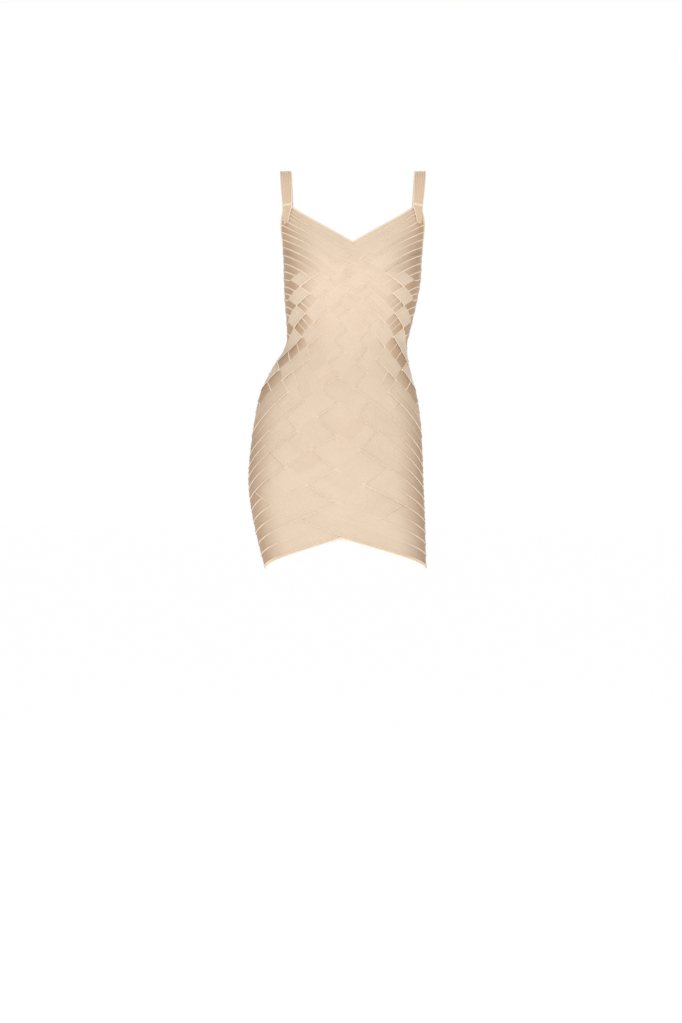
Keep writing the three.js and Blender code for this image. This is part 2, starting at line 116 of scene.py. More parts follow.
BANDAGE = KnitFinish(
    name="bandage_knit",
    face=(0.735, 0.59, 0.45),
    deep=(0.43, 0.268, 0.152),
    rim=(0.97, 0.84, 0.685),
    rib_mm=3.6,
    course_mm=3.0,
    relief_mm=0.35,
    roughness=0.62,
    sheen=0.18,
)
STRAP_KNIT = KnitFinish(
    name="strap_knit",
    face=(0.80, 0.62, 0.45),
    deep=(0.47, 0.30, 0.18),
    rim=(0.91, 0.79, 0.645),
    rib_mm=2.6,
    course_mm=1.2,
    relief_mm=0.3,
    roughness=0.6,
    sheen=0.18,
)
EDGE = KnitFinish(
    name="knit_edge",
    face=(0.76, 0.61, 0.455),
    deep=(0.55, 0.40, 0.27),
    rim=(0.95, 0.81, 0.64),
    rib_mm=1.6,
    course_mm=1.1,
    relief_mm=0.25,
    roughness=0.6,
    sheen=0.15,
)
THREAD = KnitFinish(
    name="sewing_thread",
    face=(0.86, 0.74, 0.59),
    deep=(0.70, 0.56, 0.41),
    rim=(0.9, 0.8, 0.66),
    rib_mm=0.4,
    course_mm=0.5,
    relief_mm=0.05,
    roughness=0.45,
    sheen=0.1,
)
STUDIO = PlainFinish(name="studio_paper", colour=(0.93, 0.93, 0.93), roughness=0.9)
PICOT = Stitch(size=(0.95, 0.75, 0.5), spacing=3.0)
STRAP_STITCH = Stitch(size=(0.9, 0.3, 0.25), spacing=2.2)
BACK_STITCH = Stitch(size=(1.3, 0.35, 0.3), spacing=3.0)
SIDE_STITCH = Stitch(size=(1.3, 0.35, 0.3), spacing=3.0, turn=math.pi / 2.4)


def cubic(t: Array, start: Array, start_slope: Array, end: Array, end_slope: Array) -> Array:
    """Gives a cubic between two values with a slope at each, at shares t of the way.

    Args:
        t: shares of the way.
        start: the first value.
        start_slope: the slope there, over the whole way.
        end: the last value.
        end_slope: the slope there, over the whole way.

    Returns:
        The values on the way.
    """
    back = 1 - t
    first = (1 + 2 * t) * back**2 * start + t * back**2 * start_slope
    return first + t * t * (3 - 2 * t) * end - t * t * back * end_slope


def smooth(xs: Array, ys: Array) -> Curve:
    """Makes a smooth curve through points, held straight past its ends.

    Args:
        xs: rising places.
        ys: the value at each place.

    Returns:
        A function of an array of places.
    """
    slopes = np.empty_like(ys)
    slopes[1:-1] = (ys[2:] - ys[:-2]) / (xs[2:] - xs[:-2])
    slopes[0] = (ys[1] - ys[0]) / (xs[1] - xs[0])
    slopes[-1] = (ys[-1] - ys[-2]) / (xs[-1] - xs[-2])

    def curve(v: Array) -> Array:
        """Gives the values at the places v.

        Args:
            v: places.

        Returns:
            One value for each place.
        """
        v = np.asarray(v, float)
        inside = np.clip(v, xs[0], xs[-1])
        i = np.clip(np.searchsorted(xs, inside, side="right") - 1, 0, len(xs) - 2)
        span = xs[i + 1] - xs[i]
        t = (inside - xs[i]) / span
        value = cubic(t, ys[i], span * slopes[i], ys[i + 1], span * slopes[i + 1])
        past = np.where(v > xs[-1], slopes[-1], slopes[0])
        return value + (v - inside) * past

    return curve


def smoothstep(v: Array) -> Array:
    """Eases values from 0 to 1."""
    v = np.clip(v, 0, 1)
    return v * v * (3 - 2 * v)


def unit(v: Array) -> Array:
    """Scales vectors to length 1."""
    return v / np.maximum(np.linalg.norm(v, axis=-1, keepdims=True), TINY)


def run_along(points: Array) -> Array:
    """Gives the length along a line of points up to each of them."""
    return np.r_[0, np.cumsum(np.linalg.norm(np.diff(points, axis=0), axis=1))]


def place_at(place: Array, run: Array, values: Array) -> Array:
    """Gives rows of values at a place, or at several, along their run."""
    return np.stack([np.interp(place, run, column) for column in values.T], -1)


def new_object(name: str, data: bpy.types.ID) -> bpy.types.Object:
    """Makes an object of a mesh, lamp or camera, and puts it in the scene.

    Args:
        name: the object's name.
        data: its mesh, lamp or camera.

    Returns:
        The object, at the origin.
    """
    thing = bpy.data.objects.new(name, data)
    bpy.context.scene.collection.objects.link(thing)
    return thing


@dataclass(frozen=True)
class FormRow:
    """One level of the body form: its reach to each side, to front and back, and its squareness."""

    z: float
    left: float
    right: float
    front: float
    back: float
    square: float


@dataclass(frozen=True)
class Crease:
    """A soft trough in the cloth, at a turn and a level, with its run, width, slant and depth."""

    side: Side
    turn: float
    z: float
    run: float
    width: float
    slant: float
    depth: float


@dataclass
class BodyForm:
    """The hollow form that the cloth lies on."""

    rows: tuple[FormRow, ...] = (
        FormRow(-55, -152, 150, 84, 76, 2.9),
        FormRow(-100, -147, 145.5, 103, 86, 2.9),
        FormRow(-150, -131, 129.5, 119, 90, 2.75),
        FormRow(-204, -128.5, 126, 119, 88, 2.5),
        FormRow(-242, -127, 119.5, 105, 81, 2.4),
        FormRow(-289, -123.5, 109, 92, 73, 2.4),
        FormRow(-326, -124.5, 100.5, 87, 71, 2.4),
        FormRow(-364, -146, 104, 90, 79, 2.4),
        FormRow(-392, -162, 111, 94, 92, 2.3),
        FormRow(-422, -174.5, 119, 98, 105, 2.25),
        FormRow(-475, -185, 126.5, 103, 119, 2.2),
        FormRow(-535, -192.5, 129.5, 105, 121, 2.2),
        FormRow(-585, -195, 131, 104, 115, 2.2),
        FormRow(-640, -189, 133.5, 102, 105, 2.2),
        FormRow(-709, -174, 135.5, 99, 95, 2.2),
        FormRow(-760, -160, 137, 96, 90, 2.2),
    )
    cup_turn: float = 0.3
    cup_turn_spread: float = 0.2
    cup_z: float = -168
    cup_z_spread: float = 46
    cup_lift: float = 9
    half_girth: float = 205
    turn_step: float = 0.004
    level_step: float = 1.0
    creases: tuple[Crease, ...] = (
        Crease(Side.FRONT, -0.72, -333, 62, 9, 12, 1.5),
        Crease(Side.FRONT, -0.52, -352, 48, 7, 20, 0.9),
        Crease(Side.FRONT, 0.74, -322, 44, 8, -8, 1.2),
        Crease(Side.FRONT, 0.58, -347, 58, 9, -16, 1.0),
        Crease(Side.FRONT, -0.66, -228, 52, 15, -20, 0.7),
        Crease(Side.FRONT, 0.68, -236, 46, 14, 22, 0.6),
        Crease(Side.FRONT, 0.05, -352, 54, 11, 4, 0.7),
        Crease(Side.FRONT, -0.35, -640, 70, 12, 8, 0.7),
        Crease(Side.FRONT, 0.42, -612, 60, 11, -10, 0.6),
        Crease(Side.BACK, -0.3, -318, 66, 10, 6, 1.6),
        Crease(Side.BACK, 0.34, -331, 58, 9, -9, 1.4),
        Crease(Side.BACK, 0.08, -352, 72, 12, 3, 1.1),
        Crease(Side.BACK, -0.6, -292, 46, 9, 14, 1.0),
        Crease(Side.BACK, 0.62, -300, 50, 8, -15, 0.9),
        Crease(Side.BACK, -0.2, -640, 66, 12, 5, 0.8),
    )
    _columns: dict[str, Curve] = field(default_factory=dict)

    def __post_init__(self) -> None:
        """Makes a smooth curve of each column of the table."""
        rows = self.rows[::-1]
        levels = np.array([row.z for row in rows], float)
        for key in ("left", "right", "front", "back", "square"):
            self._columns[key] = smooth(levels, np.array([getattr(r, key) for r in rows], float))

    def crease(self, side: Side, turn: Array, z: Array) -> Array:
        """Gives how far the creases draw the cloth in.

        Args:
            side: front or back.
            turn: places across, from -1 to 1.
            z: levels.

        Returns:
            The depth of the troughs at those places.
        """
        depth = np.zeros(np.broadcast(turn, z).shape)
        for fold in self.creases:
            if fold.side is not side:
                continue
            across = (turn - fold.turn) * self.half_girth
            up = z - fold.z
            slant = math.radians(fold.slant)
            run = across * math.cos(slant) + up * math.sin(slant)
            off = up * math.cos(slant) - across * math.sin(slant)
            depth += fold.depth * np.exp(-((run / fold.run) ** 2) - (off / fold.width) ** 2)
        return depth

    def place(self, side: Side, turn: Array, z: Array) -> Array:
        """Gives points of the form.

        Args:
            side: front or back.
            turn: places across, from -1 at the left seam to 1 at the right one.
            z: levels.

        Returns:
            The points, in millimetres.
        """
        turn, z = np.broadcast_arrays(np.asarray(turn, float), np.asarray(z, float))
        left, right = self._columns["left"](z), self._columns["right"](z)
        depth = self._columns["front" if side is Side.FRONT else "back"](z)
        square = self._columns["square"](z)
        s, c = np.sin(turn * math.pi / 2), np.cos(turn * math.pi / 2)
        r = (np.abs(s) ** square + np.abs(c) ** square) ** (-1 / square)
        y = side.value * depth * r * c
        if side is Side.FRONT:
            across = np.exp(-(((np.abs(turn) - self.cup_turn) / self.cup_turn_spread) ** 2))
            y = y - self.cup_lift * across * np.exp(-(((z - self.cup_z) / self.cup_z_spread) ** 2))
        return np.stack([(left + right) / 2 + (right - left) / 2 * r * s, y, z], -1)

    def outward(self, side: Side, turn: Array, z: Array) -> Array:
        """Gives the outward directions at places of the form.

        Args:
            side: front or back.
            turn: places across, from -1 to 1.
            z: levels.

        Returns:
            Directions of length 1.
        """
        dt, dz = self.turn_step, self.level_step
        across = self.place(side, turn + dt, z) - self.place(side, turn - dt, z)
        up = self.place(side, turn, z + dz) - self.place(side, turn, z - dz)
        return unit(np.cross(across, up)) * -side.value

    def lifted(self, side: Side, turn: Array, z: Array, lift: Array) -> Array:
        """Gives points at a lift above the form, drawn in by the creases."""
        lift = np.asarray(lift, float) - self.crease(side, turn, z)
        return self.place(side, turn, z) + self.outward(side, turn, z) * lift[..., None]


@dataclass
class Cut:
    """Where the cloth ends: side seams, armholes, and the tops that the straps hold."""

    seam_share: float = -0.0004
    centre_share: float = -0.0003
    arm_base: float = -154
    front_top: float = -71
    front_share: float = 0.458
    front_round: float = 0.385
    back_top: float = -84
    back_share: float = 0.455
    back_round: float = 0.44
    past_top: float = 1.3

    def top(self, side: Side) -> float:
        """Gives the level where a panel ends under its strap."""
        return self.front_top if side is Side.FRONT else self.back_top

    def reach(self, side: Side, z: Array) -> Array:
        """Gives how far from the centre the cloth goes at levels z, as a share of the half.

        Args:
            side: front or back.
            z: levels.

        Returns:
            The shares, from 0 to 1 and a little over.
        """
        share, power = self.back_share, self.back_round
        if side is Side.FRONT:
            share, power = self.front_share, self.front_round
        up = np.clip((z - self.arm_base) / (self.top(side) - self.arm_base), 0, self.past_top)
        return 1 - self.seam_share - share * up**power


@dataclass
class FrontFan:
    """The front's band lines: heights of line k and its slopes at the sides.

    A slope is a share of the mean slope of that half. The ease keeps a line level at its near side.
    """

    bands: int = 26
    table: tuple[tuple[float, ...], ...] = (
        # band, near side, centre, far side, near slope, far slope, near ease
        (0, 1, -142, -230, 0.8, 0.6, 1.0),
        (6, -112, -204, -334, 0.15, 0.35, 1.65),
        (12, -206, -302, -457, 0.0, 0.28, 1.7),
        (18, -288, -440, -581, 0.0, 0.28, 1.7),
        (22, -392, -562, -663, 0.05, 0.35, 1.4),
        (26, -585, -685, -745, 0.35, 0.6, 1.0),
    )
    pair: int = 2
    own_run: int = 3
    woven_middle: int = 3
    own_until: float = 5
    checks_until: float = 18
    seam_clear: float = 11
    hip_run: int = 7
    pair_from: float = 0.35
    pair_over: float = 0.3
    far_pairs_until: float = 13
    far_pairs_over: float = 3
    lines_above: int = 12
    lines_below: int = 10
    line_steps: int = 260
    _columns: list[Curve] = field(default_factory=list)

    def __post_init__(self) -> None:
        """Makes a smooth curve of each column of the table."""
        table = np.array(self.table, float)
        self._columns = [smooth(table[:, 0], table[:, i]) for i in range(1, table.shape[1])]

    def height(self, k: Array, turn: Array) -> Array:
        """Gives the level of line k at a turn, for the family that falls to the right.

        Args:
            k: line numbers, whole or not.
            turn: places across, from -1 to 1.

        Returns:
            The levels.
        """
        near, centre, far, near_slope, far_slope, ease = (column(k) for column in self._columns)
        left = turn < 0
        middle = (far - near) / 2
        start_at = np.where(left, near, centre)
        end_at = np.where(left, centre, far)
        start = np.where(left, near_slope * (centre - near), middle)
        end = np.where(left, middle / ease, far_slope * (far - centre))
        t = np.where(left, turn + 1, turn)
        held = np.clip(t, 0, 1)
        w = np.where(left, held**ease, held)
        return cubic(w, start_at, start, end_at, end) + (t - held) * np.where(t < 0, start, end)

    def other(self, turn: Array, z: Array) -> Array:
        """Gives the line number of the mirrored family at places of this one.

        Args:
            turn: places across, from -1 to 1.
            z: levels.

        Returns:
            Line numbers, whole on the lines themselves.
        """
        grid = np.linspace(-self.lines_above, self.bands + self.lines_below, self.line_steps)
        flat_turn, flat_z = np.ravel(turn), np.ravel(z)
        heights = self.height(grid[:, None], -flat_turn[None, :])
        i = np.clip((heights > flat_z).sum(0) - 1, 0, len(grid) - 2)
        pick = np.arange(len(flat_z))
        above, below = heights[i, pick], heights[i + 1, pick]
        part = np.clip((above - flat_z) / (above - below), 0, 1)
        return (grid[i] + part * (grid[1] - grid[0])).reshape(np.shape(z))

    def falling_on_top(self, i: Array, j: Array) -> Array:
        """Tells where the falling family lies on top, for falling band i and rising band j.

        Args:
            i: numbers of falling bands.
            j: numbers of rising bands.

        Returns:
            True where the falling band lies on top.
        """
        i, j = np.broadcast_arrays(i, j)
        a_in = (i >= 0) & (i < self.bands)
        b_in = (j >= 0) & (j < self.bands)
        pair_i, pair_j = i // self.pair, j // self.pair
        across, down = pair_i - pair_j, (i + j) / 2
        own = np.where(across > 0, i, j) // self.own_run
        crossed = np.where(across > 0, pair_j, pair_i)
        checks = (down < self.checks_until) & ((own + crossed) % 2 == 0)
        # Beside the side seams whole checks give way, so that none ends there in a sliver.
        own_middle = np.minimum(self.own_run * (own + 0.5), self.bands)
        above = self.height(own_middle, -1.0) - self.height(self.pair * (crossed + 0.5), 1.0)
        at_seam = (down < self.checks_until) & (above < self.seam_clear)
        checks = np.where(at_seam, own < self.hip_run, checks)
        own_top = (down < self.own_until) | checks
        sides = np.where(across > 0, own_top, ~own_top)
        middle = (pair_i + pair_j) % 2 == 0
        woven = np.where(np.abs(across) < self.woven_middle, middle, sides)
        return np.where(a_in & b_in, woven, a_in)

    def paired(self, k: int, t: Array) -> Array:
        """Gives how far band k and its neighbour lie as one: 1 over the middle, 0 at the sides.

        Args:
            k: the band's number.
            t: places along the band.

        Returns:
            Shares from 0 to 1.
        """
        near = smoothstep((-t - self.pair_from) / self.pair_over)
        far = smoothstep((t - self.pair_from) / self.pair_over)
        far = far * smoothstep((k - self.far_pairs_until) / self.far_pairs_over)
        return (1 - near) * (1 - far)


@dataclass
class BackFan:
    """The back's band lines, from the side seam to the centre seam."""

    bands: int = 36
    table: tuple[tuple[float, float, float], ...] = (
        # band, side, centre
        (0, -48, -132),
        (12, -203, -296),
        (24, -478, -484),
        (36, -745, -688),
    )
    bow: float = 0.15
    _columns: list[Curve] = field(default_factory=list)

    def __post_init__(self) -> None:
        """Makes a smooth curve of each column of the table."""
        table = np.array(self.table, float)
        self._columns = [smooth(table[:, 0], table[:, i]) for i in (1, 2)]

    def height(self, k: Array, turn: Array) -> Array:
        """Gives the level of line k at a turn.

        Args:
            k: line numbers, whole or not.
            turn: places across, from -1 to 1.

        Returns:
            The levels.
        """
        side, centre = (column(k) for column in self._columns)
        t = np.abs(turn)
        return centre + (side - centre) * ((1 + self.bow) * t - self.bow * t**3)


@dataclass
class MeshParts:
    """Points, faces, band coordinates, rim marks with their painted highlight, and painted shade, gathered
    piece by piece.
    """

    points: list[Array] = field(default_factory=list)
    faces: list[Array] = field(default_factory=list)
    caps: list[list[int]] = field(default_factory=list)
    uvs: list[Array] = field(default_factory=list)
    rims: list[Array] = field(default_factory=list)
    shades: list[Array] = field(default_factory=list)
    count: int = 0

    def add_tube(self, rings: Array, uv: Array, rim: Array, shade: Array) -> None:
        """Adds a closed tube of rings with flat ends.

        Args:
            rings: points as stations x ring x 3.
            uv: band coordinates in metres, as stations x ring x 2.
            rim: how much each point takes the raised edges' lighter colour with its painted highlight, as
                stations x ring.
            shade: the painted shade at each point, with a little random tone on bands, as stations x ring.
        """
        n, m = rings.shape[:2]
        i, j = np.meshgrid(np.arange(n - 1), np.arange(m), indexing="ij")
        a, b = i * m + j, i * m + (j + 1) % m
        quads = np.stack([a, b, b + m, a + m], -1).reshape(-1, 4)
        first, last = np.arange(m)[::-1], np.arange(m) + (n - 1) * m
        flat = rings.reshape(-1, 3)
        p = (flat - flat.mean(0))[quads]
        volume = p[:, 0] * (np.cross(p[:, 1], p[:, 2]) + np.cross(p[:, 2], p[:, 3]))
        if volume.sum() < 0:
            quads, first, last = quads[:, ::-1], first[::-1], last[::-1]
        self.points.append(flat)
        self.faces.append(quads + self.count)
        self.caps += [list(first + self.count), list(last + self.count)]
        self.uvs.append(uv.reshape(-1, 2))
        self.rims.append(rim.reshape(-1))
        self.shades.append(shade.reshape(-1))
        self.count += n * m

    def build(self, name: str, material: bpy.types.Material) -> bpy.types.Object:
        """Makes one mesh object of everything added.

        Args:
            name: the piece's name.
            material: its finish.

        Returns:
            The object, with a UV map and the attributes rim (raised edges' lighter colour with painted
            highlight) and shade (painted shade).
        """
        mesh = bpy.data.meshes.new(name)
        points = np.concatenate(self.points) * MM
        faces = [list(map(int, f)) for part in self.faces for f in part]
        faces += [list(map(int, f)) for f in self.caps]
        mesh.from_pydata(points.tolist(), [], faces)
        uv = np.concatenate(self.uvs)
        index = np.empty(len(mesh.loops), int)
        mesh.loops.foreach_get("vertex_index", index)
        layer = mesh.uv_layers.new(name="band")
        layer.data.foreach_set("uv", uv[index].astype(np.float32).ravel())
        for key, values in (("rim", self.rims), ("shade", self.shades)):
            data = np.concatenate(values).astype(np.float32)
            mesh.attributes.new(key, "FLOAT", "POINT").data.foreach_set("value", data)
        mesh.polygons.foreach_set("use_smooth", np.ones(len(mesh.polygons), bool))
        mesh.set_sharp_from_angle(angle=SHARP_ANGLE)
        mesh.materials.append(material)
        return new_object(name, mesh)


@dataclass(frozen=True)
class BandSection:
    """The section of a band: body points by share, rim points by distance from the raised edge."""

    body: tuple[float, ...] = (0.0, 0.12, 0.25, 0.38, 0.5, 0.62)
    tuck: float = 0.22
    tuck_sink: float = 0.65
    rim_from_edge: tuple[float, ...] = (2.4, 1.9, 1.2, 0.5, 0.0)
    rim_rise: tuple[float, ...] = (0.0, 0.22, 0.42, 0.32, -0.05)
    rim_mark: tuple[float, ...] = (0.0, 0.6, 1.0, 1.0, 0.7)
    rim_crest: int = 2
    inner: tuple[float, ...] = (0.97, 0.62, 0.3)
    thick: float = 0.7
    over_low: float = 0.4
    over_high: float = 1.05
    under_low: float = -1.0
    under_high: float = -0.55
    rise_share: float = 0.24
    step_share: float = 0.4
    middle_lift: float = 0.45
    middle_from: float = 0.2
    middle_over: float = 0.4
    rim_most: float = 0.33
    pair_sinks: float = 0.8
    pair_fades: float = 0.85


@dataclass
class BandSet:
    """A set of knitted bands on one side of the form, woven over and under its mirror set."""

    name: str
    side: Side
    form: BodyForm
    cut: Cut
    fan: FrontFan | BackFan
    hand: Hand
    section: BandSection = field(default_factory=BandSection)
    step_mm: float = 2.6
    slant_share: float = 0.86
    search_steps: int = 1601
    length_steps: int = 120
    least_ring: float = 1e-6
    slack_mm: float = 0.01
    shortest: float = 0.02
    fewest_rings: int = 6
    picot_over: float = 0.35
    picot_pair: float = 0.5
    seed: int = 7
    # Painted shade towards the sides: where it starts across the band at each level, and how far it takes
    # to deepen.
    levels: tuple[float, ...] = (-700, -480, -400, -300, -220, -170, -90)
    shade_from: tuple[float, ...] = (0.42, 0.46, 0.36, 0.24, 0.26, 0.3, 0.28)
    shade_over: float = 0.42
    # The far family takes its painted shade only from about this band down.
    far_shade_band: float = 9
    far_shade_over: float = 6
    # Painted shade on the back, deeper towards the side seams.
    back_shade: tuple[float, float, float, float] = (0.15, 0.8, 0.3, 0.65)  # least, more, from, over
    tone_share: float = 0.06
    # Painted highlight on raised edges: where it starts across the band at each level, how far it takes to
    # grow, its least share, and its share on the back.
    rim_from: tuple[float, ...] = (0.5, 0.5, 0.25, 0.2, 0.2, 0.3, 0.3)
    rim_over: float = 0.25
    rim_least: float = 0.28
    rim_back: float = 0.75
    parts: MeshParts = field(default_factory=MeshParts)
    rim_lines: list[Array] = field(default_factory=list)
    total_length: float = 0.0

    @property
    def woven(self) -> bool:
        """Tells whether the set crosses a mirror set."""
        return isinstance(self.fan, FrontFan)

    def turn(self, t: Array) -> Array:
        """Gives the form's turn for the set's own place across.

        Args:
            t: places along the band.

        Returns:
            Places across the form, from -1 to 1.
        """
        if self.woven:
            return -t if self.hand is Hand.RIGHT else t
        return t * self.hand.value

    def pitch(self, k: int, t: Array) -> Array:
        """Gives the width of band k, square to its run, at places t."""
        return np.abs(self.fan.height(k + 1, t) - self.fan.height(k, t)) * self.slant_share

    def shares(self, k: int, t: Array) -> list[Array]:
        """Gives the share of the band at each section point, along places t.

        Args:
            k: the band's number.
            t: places along the band.

        Returns:
            One array of shares for each point round the section.
        """
        sec = self.section
        pitch = self.pitch(k, t)
        tuck = -sec.tuck if k else 0.0
        flat = [np.full_like(t, v) for v in ([tuck] if k else []) + list(sec.body)]
        rim = [1 - np.minimum(mm / pitch, sec.rim_most) for mm in sec.rim_from_edge]
        inner = [np.full_like(t, v) for v in sec.inner + (tuck,)]
        return flat + rim + inner

    def span(self, k: int, line: int) -> tuple[float, float]:
        """Gives where a section line of a band starts and ends.

        Args:
            k: the band's number.
            line: the section point's number.

        Returns:
            The first and last place that lies on the cloth.
        """
        start = -1.0 if self.woven else self.cut.centre_share
        t = np.linspace(start, 1.0, self.search_steps)
        z = self.fan.height(k + self.shares(k, t)[line], t)
        on = (np.abs(t) <= self.cut.reach(self.side, z)) & (z <= self.cut.top(self.side))
        on &= z >= self.fan.height(self.fan.bands, np.abs(t)) - self.slack_mm
        found = t[on]
        return (float(found[0]), float(found[-1])) if len(found) else (0.0, 0.0)

    def over(self, k: int, t: Array, z: Array) -> Array:
        """Gives how far band k lies on top at places: 1 over, 0 under, eased between.

        Args:
            k: the band's number.
            t: places along the band.
            z: their levels.

        Returns:
            Shares from 0 to 1.
        """
        if not self.woven:
            return np.ones_like(t)
        crossed = self.fan.other(t, z)
        j = np.floor(crossed).astype(int)

        def on_top(other: Array) -> Array:
            """Tells where band k lies over the band other.

            Args:
                other: band numbers of the mirror set.

            Returns:
                True where band k is on top.
            """
            if self.hand is Hand.LEFT:
                return self.fan.falling_on_top(np.full_like(other, k), other)
            alone = (other < 0) | (other >= self.fan.bands)
            return alone | ~self.fan.falling_on_top(other, np.full_like(other, k))

        # A step at the crossed band's edge, spread over less than a ring, and a slope inside it.
        here, before, after = on_top(j), on_top(j - 1), on_top(j + 1)
        from_low, to_high = crossed - j, j + 1 - crossed
        rise, step = self.section.rise_share, self.section.step_share
        ring = np.maximum(np.abs(np.gradient(crossed)), self.least_ring)
        low, high = (np.clip(0.5 - gap / ring, 0, 0.5) for gap in (from_low, to_high))
        edge = here * (1 - low - high) + before * low + after * high
        inside = np.minimum(np.where(before, 1.0, from_low / rise), np.where(after, 1.0, to_high / rise))
        return step * edge + (1 - step) * here * smoothstep(inside)

    def add_band(self, k: int, tone: float) -> None:
        """Adds band k to the set's mesh.

        Args:
            k: the band's number.
            tone: the band's shade, around 0.
        """
        sec = self.section
        lines = len(self.shares(k, np.zeros(1)))
        spans = [self.span(k, line) for line in range(lines)]
        first, last = max(s[0] for s in spans), min(s[1] for s in spans)
        if last - first < self.shortest:
            return
        length = self.length_of(k, first, last)
        n = max(self.fewest_rings, int(length / self.step_mm))
        tau = np.linspace(0, 1, n)
        outer_lines = lines - len(sec.inner) - 1
        rim_from = outer_lines - len(sec.rim_from_edge)
        rings = np.empty((n, lines, 3))
        uv = np.empty((n, lines, 2))
        rim, shade = np.zeros((2, n, lines))
        for line, (t0, t1) in enumerate(spans):
            t = t0 + (t1 - t0) * tau
            share = self.shares(k, t)[line]
            z = self.fan.height(k + share, t)
            over = self.over(k, t, z)
            paired = self.fan.paired(k, t) if self.woven else np.zeros_like(t)
            inner_edge = paired * (k % 2 == 0)
            rise = share + paired * ((k % 2 + share) / 2 - share)
            low = sec.under_low + (sec.over_low - sec.under_low) * over
            high = sec.under_high + (sec.over_high - sec.under_high) * over
            lift = low + (high - low) * rise
            if self.woven:
                aside = smoothstep((np.abs(t) - sec.middle_from) / sec.middle_over)
                lift = lift * (sec.middle_lift + (1 - sec.middle_lift) * aside)
            if rim_from <= line < outer_lines:
                lift = lift + sec.rim_rise[line - rim_from] * (1 - sec.pair_sinks * inner_edge)
                # Raised edges take their lighter colour with a painted highlight, which fades towards the
                # centre and on paired inner edges.
                rim_highlight = (1 - sec.pair_fades * inner_edge) * self.shown(t, z)
                rim[:, line] = sec.rim_mark[line - rim_from] * rim_highlight
            elif line >= outer_lines:
                lift = lift - sec.thick
            if k % 2 and line in (0, lines - 1):
                lift = lift - sec.tuck_sink * paired
            rings[:, line] = self.form.lifted(self.side, self.turn(t), z, lift)
            uv[:, line, 0] = length * tau * MM
            uv[:, line, 1] = share * self.pitch(k, t) * MM
            # Painted shade, plus a little random tone for each band.
            shade[:, line] = self.shade(k, t, z) + self.tone_share * tone
            if line == rim_from + sec.rim_crest:
                beaded = (over > self.picot_over) & (inner_edge < self.picot_pair)
                self.keep_rim_line(rings[:, line], beaded)
        self.parts.add_tube(rings, uv, rim, shade)
        self.total_length += length

    def shade(self, k: int, t: Array, z: Array) -> Array:
        """Gives the painted shade of band k: deepest towards the sides, where the bands crowd.

        Args:
            k: the band's number.
            t: places along the band.
            z: their levels.

        Returns:
            Painted shade, from 0 for the face's colour to 1 for the deep one.
        """
        # Back bands get painted shade that deepens towards the side seam; front bands are deepest at the
        # sides.
        if not self.woven:
            least, more, start, spread = self.back_shade
            return least + more * smoothstep((t - start) / spread)
        start = np.interp(z, self.levels, self.shade_from)
        deep = smoothstep((np.abs(t) - start) / self.shade_over)
        far = smoothstep((k - self.far_shade_band) / self.far_shade_over)
        return deep * np.where(t < 0, 1.0, far)

    def shown(self, t: Array, z: Array) -> Array:
        """Gives how much painted highlight a raised edge carries: it fades towards the centre.

        Args:
            t: places along the band.
            z: their levels.

        Returns:
            Shares from 0 to 1.
        """
        if not self.woven:
            return np.full_like(t, self.rim_back)
        start = np.interp(z, self.levels, self.rim_from)
        aside = smoothstep((np.abs(t) - start) / self.rim_over)
        return self.rim_least + (1 - self.rim_least) * aside

    def keep_rim_line(self, points: Array, shown: Array) -> None:
        """Keeps the stretches of a band's raised edge that carry picot beads.

        Args:
            points: the raised edge's points.
            shown: where it carries beads.
        """
        starts = np.flatnonzero(np.diff(np.r_[0, shown.astype(int)]) == 1)
        ends = np.flatnonzero(np.diff(np.r_[shown.astype(int), 0]) == -1)
        self.rim_lines += [points[a : b + 1] for a, b in zip(starts, ends) if b - a > 1]

    def length_of(self, k: int, first: float, last: float) -> float:
        """Gives the length of band k between two places.

        Args:
            k: the band's number.
            first: where it starts.
            last: where it ends.

        Returns:
            The length in millimetres, along the middle of the band.
        """
        t = np.linspace(first, last, self.length_steps)
        points = self.form.place(self.side, self.turn(t), self.fan.height(k + 0.5, t))
        return float(run_along(points)[-1])

    def build(self, material: bpy.types.Material) -> bpy.types.Object:
        """Builds all the bands as one piece.

        Args:
            material: the knit's finish.

        Returns:
            The piece.
        """
        rng = np.random.default_rng(self.seed)
        for k in range(self.fan.bands):
            self.add_band(k, float(rng.uniform(-1, 1)))
        piece = self.parts.build(self.name, material)
        LOG.info("%s: %d bands, %.2f m of band", self.name, self.fan.bands, self.total_length * MM)
        return piece


@dataclass
class EdgeLine:
    """A line to sweep along: points, width directions (off the cloth) and height directions."""

    at: Array
    wide: Array
    high: Array


